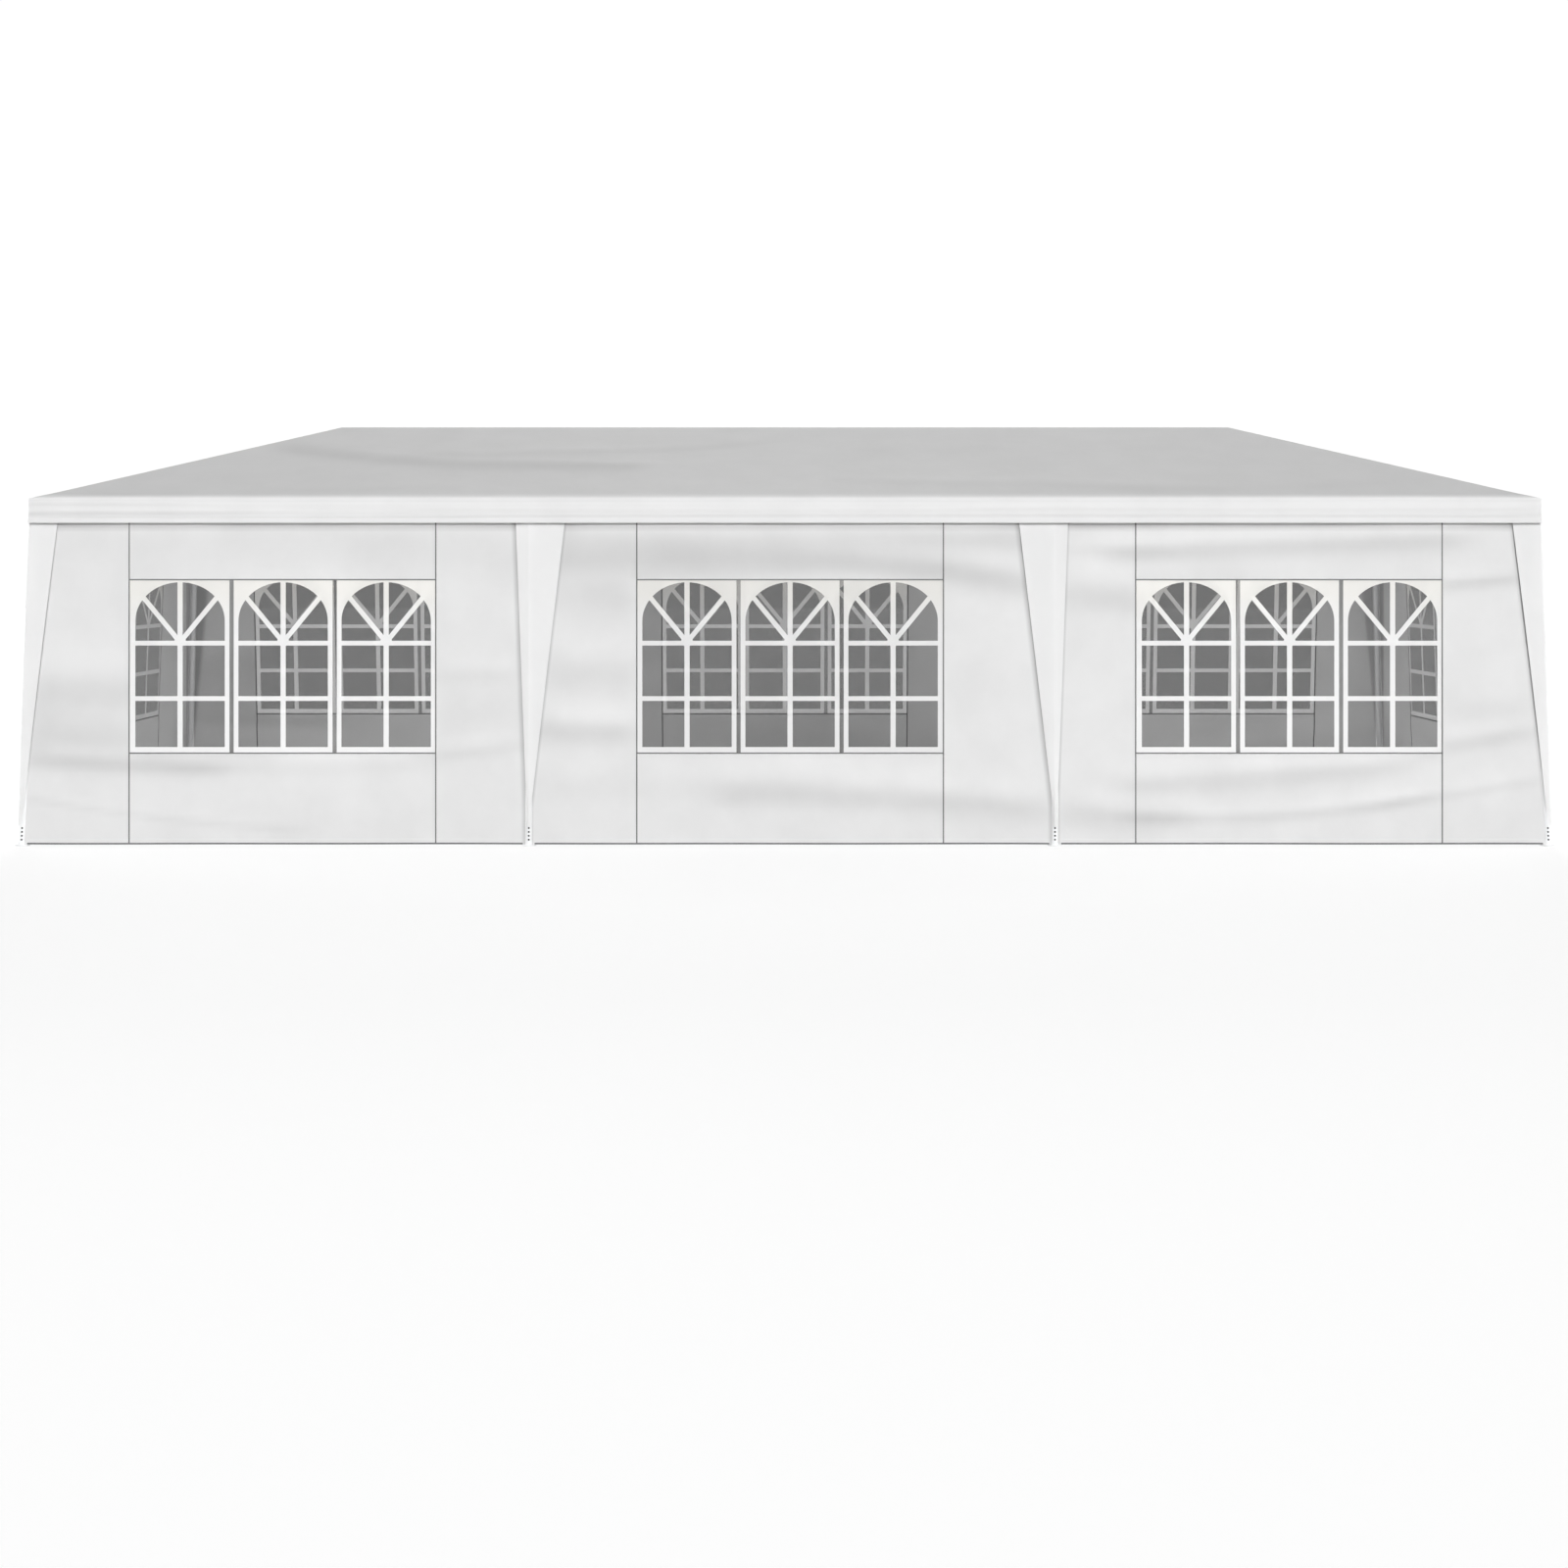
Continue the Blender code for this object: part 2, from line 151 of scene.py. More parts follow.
def selectOnly(piece):
    bpy.ops.object.select_all(action="DESELECT")
    piece.select_set(True)
    bpy.context.view_layer.objects.active = piece


def editMode(piece):
    selectOnly(piece)
    bpy.ops.object.mode_set(mode="EDIT")
    bpy.ops.mesh.select_all(action="SELECT")


def objectMode():
    bpy.ops.object.mode_set(mode="OBJECT")


def pick(piece, kind, test):  # in edit mode, selects the faces or edges that pass a test
    bpy.ops.mesh.select_mode(type=kind)
    bpy.ops.mesh.select_all(action="DESELECT")
    mesh = bmesh.from_edit_mesh(piece.data)
    for part in mesh.faces if kind == "FACE" else mesh.edges:
        if test(part):
            part.select_set(True)
    bmesh.update_edit_mesh(piece.data)


def applyModifier(piece, kind, **settings):
    selectOnly(piece)
    modifier = piece.modifiers.new(kind.lower(), kind)
    for name, value in settings.items():
        setattr(modifier, name, value)
    bpy.ops.object.modifier_apply(modifier=modifier.name)


def addShape(operator, scale=(1, 1, 1), **settings):  # at the origin, with its place in its mesh
    operator(**settings)
    shape = bpy.context.object
    shape.scale = scale
    selectOnly(shape)
    bpy.ops.object.transform_apply(location=True, rotation=True, scale=True)
    return shape


def slicePiece(piece, axis, places):  # adds a line of edges across the piece at each place
    normal = [float(i == axis) for i in range(3)]
    editMode(piece)
    for place in places:
        bpy.ops.mesh.select_all(action="SELECT")
        bpy.ops.mesh.bisect(plane_co=[place * n for n in normal], plane_no=normal)
    objectMode()


def steps(low, high, spacing):  # evenly spaced places between two ends, without the ends
    count = max(1, round((high - low) / spacing))
    return [low + (high - low) * i / count for i in range(1, count)]


def points(piece):
    found = np.zeros(len(piece.data.vertices) * 3)
    piece.data.vertices.foreach_get("co", found)
    return found.reshape(-1, 3)


def setPoints(piece, places):
    piece.data.vertices.foreach_set("co", places.ravel())
    piece.data.update()


def layUv(piece, along, up):  # sets the piece's UV map to metres along and up its cloth
    corner = np.zeros(len(piece.data.loops), int)
    piece.data.loops.foreach_get("vertex_index", corner)
    flat = np.stack([along[corner], up[corner]], axis=1)
    piece.data.uv_layers[0].data.foreach_set("uv", flat.ravel())


def layNumber(piece, name, values):  # a number at each point, which the material reads
    layer = piece.data.attributes.new(name, "FLOAT", "POINT")
    layer.data.foreach_set("value", values)


def ease(share):  # 0 below 0, 1 above 1, smooth between
    share = np.clip(share, 0, 1)
    return share * share * (3 - 2 * share)


def joinPieces(pieces):
    selectOnly(pieces[0])
    for piece in pieces[1:]:
        piece.select_set(True)
    bpy.ops.object.join()
    return pieces[0]


def copyPiece(piece, name):
    made = piece.copy()
    made.data = piece.data.copy()
    made.name = made.data.name = name
    bpy.context.scene.collection.objects.link(made)
    return made


def moveMesh(piece, offset):
    piece.data.transform(Matrix.Translation(offset))
    return piece


def addBox(low, high):  # a box between two corners, as a start for a shape or a cutter
    size = [b - a for a, b in zip(low, high)]
    middle = [(a + b) / 2 for a, b in zip(low, high)]
    return addShape(bpy.ops.mesh.primitive_cube_add, size, size=1, location=middle)


def addRound(sides, radius, depth, place, turn=math.pi / 2, scale=(1, 1, 1)):  # lies along Y if turned
    return addShape(bpy.ops.mesh.primitive_cylinder_add, scale, vertices=sides, radius=radius,
                    depth=depth, location=place, rotation=(turn, 0, 0))


def cut(piece, cutter, operation="DIFFERENCE"):
    applyModifier(piece, "BOOLEAN", operation=operation, solver="EXACT", object=cutter)
    bpy.data.objects.remove(cutter)


def finishPiece(piece, name, material, node, angle=35):
    piece.name = piece.data.name = name
    piece.data.materials.clear()
    piece.data.materials.append(material)
    selectOnly(piece)
    bpy.ops.object.shade_smooth_by_angle(angle=math.radians(angle))
    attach(piece, bodyName)
    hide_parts(node)


# Camera, floor and light
studio = {
    "eye": (-0.006, -12.45, 1.66),     # level, in front of the long side
    "lens": 42.2,
    "shiftY": -0.139,                  # the photograph's horizon lies above its middle
    "floorHalf": 60.0,
    "floorColour": "#A9A9A9",
    "backdrop": 1.02,                  # what the camera sees behind the tent: plain white
    "floorGlow": 0.64,
    "fill": 0.19,                      # the even light of the room
    # softboxes: compass turn from the front, height in degrees, width in degrees, strength
    "softboxes": {
        "key": (10, 28, 36, 2.67),
        "back": (180, 9, 40, 3.00),
        "left": (-104, 4, 30, 2.30),
        "right": (104, 4, 30, 2.30),
    },
    # two rows of wide soft panels light the inside evenly: height, turn about X in degrees, watts
    "insidePanels": {"top": (1.96, 0, 47), "bottom": (0.04, 180, 50)},
    "bayShares": (1.40, 0.50, 1.40),   # each row has a panel a bay; the end bays need more light
    "insideLength": 8.7,
    "insideWidth": 2.5,
}

cameraData = bpy.data.cameras.new("camera")
camera = bpy.data.objects.new("camera", cameraData)
bpy.context.scene.collection.objects.link(camera)
camera.location = studio["eye"]
camera.rotation_euler = (math.pi / 2, 0, 0)
cameraData.lens = studio["lens"]
cameraData.sensor_width = 36
cameraData.shift_y = studio["shiftY"]
cameraData.clip_end = 200
bpy.context.scene.camera = camera


def addLight(name, kind, power, turns):
    data = bpy.data.lights.new(name, kind)
    data.energy = power
    light = bpy.data.objects.new(name, data)
    bpy.context.scene.collection.objects.link(light)
    light.rotation_euler = [math.radians(turn) for turn in turns]
    return light


def makeStudio():
    floor = addShape(bpy.ops.mesh.primitive_plane_add, size=2 * studio["floorHalf"])
    floor.name = "studio_floor"
    material, tree, shader = newMaterial("paintedStudioFloor", {
        "Base Color": toLinear(studio["floorColour"]),
        "Roughness": 0.9,
        "Specular IOR Level": 0.1,
        "Emission Color": (1, 1, 1, 1),
    })
    # The floor reads as white as the backdrop, but throws no more light up than a pale floor does
    sight = addNode(tree, "LightPath")
    glow = addNode(tree, "Math", {"operation": "MULTIPLY", 1: studio["floorGlow"]}, {0: sight.outputs[0]})
    tree.links.new(glow.outputs[0], shader.inputs["Emission Strength"])
    material.cycles.emission_sampling = "NONE"
    floor.data.materials.append(material)

    world = bpy.context.scene.world or bpy.data.worlds.new("studio")
    bpy.context.scene.world = world
    world.use_nodes = True
    tree = world.node_tree
    tree.nodes.clear()
    sight = addNode(tree, "LightPath")
    level = addRange(tree, sight.outputs[0], (0, 1), (studio["fill"], studio["backdrop"]))
    background = addNode(tree, "Background", {"Color": (1, 1, 1, 1)}, {"Strength": level.outputs[0]})
    addNode(tree, "OutputWorld", links={"Surface": background.outputs[0]})

    for name, (turn, height, width, strength) in studio["softboxes"].items():
        light = addLight("softbox_" + name, "SUN", strength, (90 - height, 0, turn))
        light.data.angle = math.radians(width)
    bayLength = studio["insideLength"] / 3
    for row, (height, turn, power) in studio["insidePanels"].items():
        for index, share in enumerate(studio["bayShares"]):
            name = f"inside_panel_{row}_{bayNames[index]}"
            light = addLight(name, "AREA", power * share / 3, (turn, 0, 0))
            light.data.shape = "RECTANGLE"
            light.data.size, light.data.size_y = bayLength, studio["insideWidth"]
            light.location = ((index - 1) * bayLength, 0, height)
            light.visible_camera = light.visible_glossy = False
    bpy.context.scene.view_settings.view_transform = "Standard"
    # Light goes back and forth between the white walls inside the tent
    bpy.context.scene.cycles.max_bounces = 12
    bpy.context.scene.cycles.diffuse_bounces = 6
    bpy.context.scene.cycles.transparent_max_bounces = 24


makeStudio()
print("marquee: camera, floor and light")


# Folds: soft ridges in hanging cloth. Each follows a curve through three places (along, up),
# with its half width and how far it stands out.

def foldDepth(folds, along, up, fade=0.30):
    depth = np.zeros(len(along))
    for (x0, z0), (x1, z1), (x2, z2), halfWidth, rise in folds:
        line = (
            z0 * (along - x1) * (along - x2) / ((x0 - x1) * (x0 - x2))
            + z1 * (along - x0) * (along - x2) / ((x1 - x0) * (x1 - x2))
            + z2 * (along - x0) * (along - x1) / ((x2 - x0) * (x2 - x1))
        )
        reach = ease((along - x0 + fade / 2) / fade) * ease((x2 + fade / 2 - along) / fade)
        depth += rise * reach * np.exp(-((up - line) / halfWidth) ** 2)
    return depth


# Cover: one sewn sheet, roof slopes and valance
cover = {
    "length": 9.0,
    "width": 3.0,
    "eaveHeight": 2.062,
    "ridgeHeight": 2.60,
    "valanceDrop": 0.145,
    "thickness": 0.0012,
    "foldRound": 0.005,        # how round the cloth turns over the hips, ridge and corners
    "eaveRound": 0.016,        # and over the long eave rails
    "flare": 0.016,            # how far the hem of the valance stands out on the long sides
    "endProud": 0.0070,        # the ends stand off their rails
    "endTuck": 0.30,           # and their hem is tucked in, by this share of the flare
    "hemHeight": 0.024,        # the hem is doubled
    "hemProud": 0.0012,
    "hemStep": 0.0015,
    "sliceAlong": 0.10,        # how finely the cloth is divided
    "sliceAcross": 0.03,
    "sliceDown": 0.005,
    "railRise": 0.007,         # the eave rail lifts the cloth in a low ridge, less at the hips
    "railRiseWidth": 0.030,
    "railRiseAtHip": 0.3,
    "sag": 0.010,              # between the rafters
    # the painted shade of the roof slopes fades in over this height above the eave
    "roofShadeRise": 0.03,
    "endStretch": 1.4,         # the folds of an end are shorter than those of a side by this
    "cornerCalm": 0.01,        # no fold this close to a corner
    # over how much cloth each of these grows to its full size
    "fade": {
        "railRise": 0.30, "sag": 0.50, "support": 0.60, "folds": 0.35, "eave": 0.12, "ridge": 0.10,
        "hang": 0.02, "corner": 0.15, "endProud": 0.20, "shade": 0.80,
    },
    # folds: a line through three places along the cloth, its half width and how far it stands out
    "roofFolds": [
        ((-3.27, 0.36), (-2.20, 0.70), (-0.83, 0.77), 0.06, 0.006),
        ((-2.31, 0.52), (-1.45, 0.51), (-0.10, 0.26), 0.05, 0.003),
        ((0.30, 1.09), (1.50, 1.17), (2.60, 1.24), 0.06, 0.003),
        ((1.90, 1.25), (2.80, 1.22), (3.70, 1.07), 0.06, 0.003),
    ],
    "valanceFolds": [
        ((-4.80, 1.995), (-4.10, 1.990), (-2.90, 1.988), 0.011, 0.0022),
        ((-4.80, 1.962), (-3.90, 1.957), (-1.80, 1.960), 0.010, 0.0026),
        ((-2.20, 2.005), (-0.60, 1.998), (1.40, 2.002), 0.013, 0.0018),
        ((-1.90, 1.962), (0.40, 1.966), (4.80, 1.960), 0.009, 0.0022),
        ((1.10, 2.012), (2.70, 2.004), (4.80, 2.008), 0.012, 0.0020),
    ],
    # painted shade along the creases and the eave of the cloth: the same, with how much darker they are
    "valanceShades": [
        ((-4.80, 2.030), (-4.30, 2.028), (-3.60, 2.026), 0.010, 0.06),
        ((-4.80, 1.972), (-4.20, 1.970), (-3.40, 1.970), 0.011, 0.08),
        ((-4.80, 1.965), (0.00, 1.966), (4.80, 1.965), 0.014, 0.04),
        ((-4.80, 2.054), (0.00, 2.054), (4.80, 2.054), 0.006, 0.04),
        ((-4.80, 1.985), (0.00, 1.985), (4.80, 1.985), 0.200, 0.03),
        ((-4.80, 1.921), (0.00, 1.921), (4.80, 1.921), 0.004, 0.03),
    ],
    "roofShades": [
        ((-3.30, 0.44), (-2.20, 0.79), (-0.90, 0.86), 0.10, 0.09),
        ((-2.31, 0.60), (-1.45, 0.59), (-0.10, 0.33), 0.06, 0.035),
        ((-3.10, 1.33), (-2.60, 1.32), (-2.20, 1.28), 0.05, 0.025),
        ((0.30, 1.17), (1.50, 1.25), (2.60, 1.32), 0.07, 0.025),
        ((1.90, 1.33), (2.80, 1.30), (3.70, 1.15), 0.06, 0.025),
        ((0.40, 0.50), (0.90, 0.48), (1.40, 0.45), 0.11, 0.020),
    ],
}


# Painted shadow on the walls: beside a drape at the wall's low and high end, how far and how much,
# and under the hem of the valance, between three heights with the most at the middle one
wallShadow = {
    "drapes": {"drapeLow": (0.018, 0.25), "drapeHigh": (0.032, 0.35)},
    "cornerEase": 0.009,       # less beside a corner drape
    "hemHeights": (1.862, 1.893, 1.902),
    "hemMost": 0.17,
    "hemLeast": 0.1,           # share of it left at the highest
}


# Materials. Each is named for what the real one is and how its surface was made.

def clothMaterial(name, colours, roughness, gloss, translucency, roofShadeColour=None, shadowed=False):
    # Polyethylene tape cloth, coated smooth on both sides: near white, slightly glossy, and it keeps
    # faint broad creases from being packed. The cloth has two faces, and each lets through the
    # translucency given here, so that a tenth or less of the light comes through both.
    material, tree, shader = newMaterial(name, {
        "Roughness": roughness,
        "IOR": 1.5,
        "Specular IOR Level": gloss,
    })
    place = objectPlace(tree)
    split = addNode(tree, "SeparateXYZ", links={0: place})
    # Coating thickness drifts over 100 to 400 mm, which mottles the white by a percent or two
    drift = addNoise(tree, place, 3.2, 3.0, Roughness=0.55)
    tone = addTone(tree, drift, *colours)
    # Noise seldom leaves this middle range
    tone.color_ramp.elements[0].position = 0.35
    tone.color_ramp.elements[1].position = 0.65
    # Packing creases: soft wrinkles of 60 to 200 mm, about a millimetre deep
    bump = addBump(tree, addNoise(tree, place, 7.0, 2.0, Distortion=0.6), 0.35, 0.004)
    black = (0, 0, 0, 1)
    # Painted shade: the cloth's shade number darkens its colour toward black along creases and folds
    shade = addNode(tree, "Attribute", {"attribute_name": "shade"})
    colour = mixColour(tree, "MIX", shade.outputs["Fac"], tone.outputs[0], black)
    if roofShadeColour:  # painted shade: the slopes of the roof are darker than the upright valance
        slopeShadeHeights = (cover["eaveHeight"], cover["eaveHeight"] + cover["roofShadeRise"])
        slopeShade = addRange(tree, split.outputs["Z"], slopeShadeHeights)
        colour = mixColour(tree, "MULTIPLY", slopeShade.outputs[0], colour, toLinear(roofShadeColour))
    if shadowed:  # painted shadow: the wall darkens beside the edges of the drapes and under the hem of the valance
        drapeShadows = []
        for gapName, (reach, most) in wallShadow["drapes"].items():
            gap = addNode(tree, "Attribute", {"attribute_name": gapName})
            drapeShadows.append(addRange(tree, gap.outputs["Fac"], (0, reach), (most, 0)))
        low, peak, top = wallShadow["hemHeights"]
        rise = addRange(tree, split.outputs["Z"], (low, peak), (0, wallShadow["hemMost"]))
        fall = addRange(tree, split.outputs["Z"], (peak, top), (1, wallShadow["hemLeast"]))
        hemShadow = addNode(tree, "Math", {"operation": "MULTIPLY"}, {0: rise.outputs[0], 1: fall.outputs[0]})
        for grey in (*drapeShadows, hemShadow):
            colour = mixColour(tree, "MIX", grey.outputs[0], colour, black)
    dress(tree, shader, colour, bump)
    glow = addNode(tree, "BsdfTranslucent", links={"Color": colour, "Normal": bump.outputs[0]})
    mix = mixShaders(tree, translucency, shader, glow)
    tree.links.new(mix.outputs[0], tree.nodes["Material Output"].inputs["Surface"])
    return material


def printMaterial():
    # White ink printed on clear vinyl: even, satin, slightly warmer in the corners over the arches
    material, tree, shader = newMaterial("whitePrintedVinyl", {
        "Roughness": 0.38,
        "IOR": 1.53,
        "Specular IOR Level": 0.35,
    })
    place = objectPlace(tree)
    split = addNode(tree, "SeparateXYZ", links={0: place})
    high = addRange(tree, split.outputs["Z"], (1.30, 1.50))
    tone = addTone(tree, high, "#FAFAFA", "#F9F8F5")
    # A trace of roller marks in the ink, 15 mm apart
    bump = addBump(tree, addNoise(tree, place, 66.0, 1.0), 0.06, 0.0004)
    dress(tree, shader, tone.outputs[0], bump)
    glow = addNode(tree, "BsdfTranslucent", links={"Color": tone.outputs[0]})
    lit = mixShaders(tree, 0.55, shader, glow)
    # The ink is thin: each face lets a third of the light straight through, so 11 percent is seen
    mix = mixShaders(tree, 0.33, lit, addNode(tree, "BsdfTransparent"))
    tree.links.new(mix.outputs[0], tree.nodes["Material Output"].inputs["Surface"])
    return material


def filmMaterial():
    # Clear calendered vinyl, smoky grey from its thickness, glossy with a slow ripple of 200 mm.
    # A pane has two faces, and light passes both: 0.63 x 0.63 lets 40 percent through.
    material, tree, shader = newMaterial("smokyClearVinyl", {
        "Roughness": 0.10,
        "IOR": 1.53,
        "Specular IOR Level": 0.3,
        "Alpha": 0.37,
    })
    ripple = addNoise(tree, objectPlace(tree), 5.0, 1.0)
    tone = addTone(tree, ripple, "#0C0C0C", "#141414")
    dress(tree, shader, tone.outputs[0], addBump(tree, ripple, 0.2, 0.004))
    material.surface_render_method = "BLENDED"
    return material


def tapeAndGapShadowMaterial():
    # Grey polyethylene tape, welded over the seams: dull, with a grain of 5 mm. Along the wall's foot
    # the same grey is a dark strip that stands in for the shadow in the gap under the wall
    material, tree, shader = newMaterial("greySeamTapeAndGapShadow", {"Roughness": 0.6, "Specular IOR Level": 0.3})
    grain = addNoise(tree, objectPlace(tree), 220.0, 2.0)
    tone = addTone(tree, grain, "#6A6A6A", "#7C7C7C")
    dress(tree, shader, tone.outputs[0], addBump(tree, grain, 0.15, 0.0004))
    return material


def steelMaterial():
    # Steel tube with a white baked powder coat: satin, with an orange peel of 3 mm
    material, tree, shader = newMaterial("powderCoatedSteel", {
        "Roughness": 0.34,
        "Specular IOR Level": 0.5,
        "Coat Weight": 0.15,
        "Coat Roughness": 0.2,
    })
    place = objectPlace(tree)
    bump = addBump(tree, addNoise(tree, place, 330.0, 1.0), 0.12, 0.0003)
    # Handling marks of 50 to 100 mm take the shine off here and there
    wear = addNoise(tree, place, 14.0, 4.0)
    tone = addTone(tree, wear, "#F6F7F8", "#FCFCFD")
    dull = addRange(tree, wear.outputs[0], (0, 1), (0.28, 0.42))
    tree.links.new(dull.outputs[0], shader.inputs["Roughness"])
    dress(tree, shader, tone.outputs[0], bump)
    return material


def bareSteelMaterial():
    # The inside of a tube is drawn steel without coating: dark grey, with streaks 2.5 mm wide and
    # 50 mm long along the tube
    material, tree, shader = newMaterial("drawnSteelInside", {"Metallic": 0.8, "Roughness": 0.55})
    streak = addNode(tree, "Mapping", {"Scale": (400.0, 400.0, 20.0)}, {"Vector": objectPlace(tree)})
    tone = addTone(tree, addNoise(tree, streak.outputs[0], 1.0, 2.0), "#2E2F30", "#444648")
    tree.links.new(tone.outputs[0], shader.inputs["Base Color"])
    return material


def plasticMaterial():
    # Injection moulded polypropylene: milky in clouds of 45 mm, satin, with a spark-eroded grain of 1 mm
    material, tree, shader = newMaterial("mouldedPolypropylene", {"Roughness": 0.48, "IOR": 1.49})
    place = objectPlace(tree)
    grain = addNoise(tree, place, 900.0, 2.0)
    tone = addTone(tree, addNoise(tree, place, 22.0, 2.0), "#DADCDD", "#E6E7E7")
    dress(tree, shader, tone.outputs[0], addBump(tree, grain, 0.2, 0.0002))
    return material


# the cover's last colour darkens the roof slopes: painted shade
coverCloth = clothMaterial("coatedPolyethyleneCover", ("#FAFAFA", "#FDFDFD"), 0.60, 0.14, 0.22, "#E0E0E0")
# the wall cloth is the cover's cloth made a few percent greyer: painted shade of the walls under the valance
wallCloth = clothMaterial("coatedPolyethyleneWall", ("#EEEEEE", "#F2F2F2"), 0.52, 0.35, 0.18, None, True)
windowInk = printMaterial()
windowVinyl = filmMaterial()
seamTapeAndGapShadow = tapeAndGapShadowMaterial()
coatedSteel = steelMaterial()
bareSteel = bareSteelMaterial()
fittingPlastic = plasticMaterial()
print("marquee: materials")


def makeCover():
    half = (cover["length"] / 2, cover["width"] / 2)
    eave, hem = cover["eaveHeight"], cover["eaveHeight"] - cover["valanceDrop"]
    fade = cover["fade"]
    size = (cover["length"], cover["width"], 1)
    piece = addShape(bpy.ops.mesh.primitive_plane_add, size, size=1, location=(0, 0, eave))
    editMode(piece)
    bpy.ops.mesh.inset(thickness=half[1])
    bpy.ops.transform.translate(value=(0, 0, cover["ridgeHeight"] - eave))
    bpy.ops.mesh.select_all(action="SELECT")
    bpy.ops.mesh.remove_doubles(threshold=touch)
    pick(piece, "EDGE", lambda edge: edge.is_boundary)
    bpy.ops.mesh.extrude_region_move(TRANSFORM_OT_translate={"value": (0, 0, -cover["valanceDrop"])})
    bpy.ops.mesh.select_all(action="SELECT")
    bpy.ops.mesh.normals_make_consistent(inside=False)
    objectMode()
    # The long eaves turn in a wide round, the other folds in a narrow one, the hem not at all
    share = piece.data.attributes.new("bevel_weight_edge", "FLOAT", "EDGE")
    for edge in piece.data.edges:
        start, end = (piece.data.vertices[i].co for i in edge.vertices)
        longEave = abs(start.z - eave) + abs(end.z - eave) < touch and abs(start.y - end.y) < touch
        if max(start.z, end.z) > hem + touch:
            share.data[edge.index].value = 1 if longEave else cover["foldRound"] / cover["eaveRound"]
    applyModifier(piece, "BEVEL", width=cover["eaveRound"], segments=4, limit_method="WEIGHT")
    piece.data.attributes.remove(piece.data.attributes["bevel_weight_edge"])
    slicePiece(piece, 0, steps(-half[0], half[0], cover["sliceAlong"]))
    slicePiece(piece, 1, steps(-half[1], half[1], cover["sliceAcross"]))
    hemTop = hem + cover["hemHeight"]
    downSteps = steps(hem, eave - cover["eaveRound"], cover["sliceDown"])
    slicePiece(piece, 2, [*downSteps, hemTop, hemTop + cover["hemStep"]])

    place = points(piece)
    x, y, z = place.T
    layUv(piece, x, y + np.sign(y) * (eave - z))
    # How far each point lies up its slope from the eave, and past the nearest hip
    fromSide, fromEnd = half[1] - np.abs(y), half[0] - np.abs(x)
    upSlope = np.minimum(fromSide, fromEnd)
    pastHip = np.abs(fromEnd - fromSide)
    roof = ease((z - eave + cover["eaveRound"]) / cover["eaveRound"])
    # Along the cloth as seen from outside, on the roof and on a side or an end
    roofAlong, roofUp = x * np.sign(-y), np.abs(y)
    onSide = fromSide < fromEnd
    along = np.where(onSide, roofAlong, y * np.sign(x))
    # painted shade along the creases of the roof and the valance, which the material reads
    layNumber(piece, "shade", np.where(
        z > eave, foldDepth(cover["roofShades"], roofAlong, roofUp),
        foldDepth(cover["valanceShades"], along, z, fade["shade"]),
    ))
    inset = half[1] - tent["railHalfWidth"]
    railRidge = np.exp(-((upSlope - inset) / cover["railRiseWidth"]) ** 2) * cover["railRise"]
    railRidge *= cover["railRiseAtHip"] + (1 - cover["railRiseAtHip"]) * ease(pastHip / fade["railRise"])
    sag = np.sin(math.pi * np.clip((upSlope - inset) / (half[1] - inset), 0, 1)) * ease(pastHip / fade["sag"])
    for support in middleLegX:
        sag = np.where(onSide, sag * ease(np.abs(x - support) / fade["support"]), sag)
    folds = foldDepth(cover["roofFolds"], roofAlong, roofUp) * ease(pastHip / fade["folds"]) * (y != 0)
    away = ease(upSlope / fade["eave"]) * ease((half[1] - upSlope) / fade["ridge"])
    place[:, 2] += roof * (railRidge - cover["sag"] * sag + folds * away)
    # The valance hangs a little outwards, with low lengthwise folds and a doubled hem
    hang = ease((eave - cover["eaveRound"] - z) / fade["hang"])
    near = 1.1 * cover["foldRound"]  # the valance lies within this of the cover's edge
    depth = foldDepth(cover["valanceFolds"], np.where(onSide, along, cover["endStretch"] * along), z)
    depth *= ease((np.maximum(fromEnd, fromSide) - cover["cornerCalm"]) / fade["corner"])
    depth += cover["hemProud"] * (z < hemTop + cover["hemStep"] / 3)
    flare = cover["flare"] * (eave - z) / cover["valanceDrop"]
    place[:, 1] += np.sign(y) * (fromSide < near) * (depth + flare) * hang
    place[:, 0] += np.sign(x) * (fromEnd < near) * (depth - cover["endTuck"] * flare) * hang
    place[:, 0] += np.sign(x) * cover["endProud"] * ease(1 - fromEnd / fade["endProud"])
    setPoints(piece, place)
    applyModifier(piece, "SOLIDIFY", thickness=cover["thickness"], offset=-1)
    finishPiece(piece, "roof_cover", coverCloth, "canopy_cover", 50)


makeCover()
print("marquee: cover")


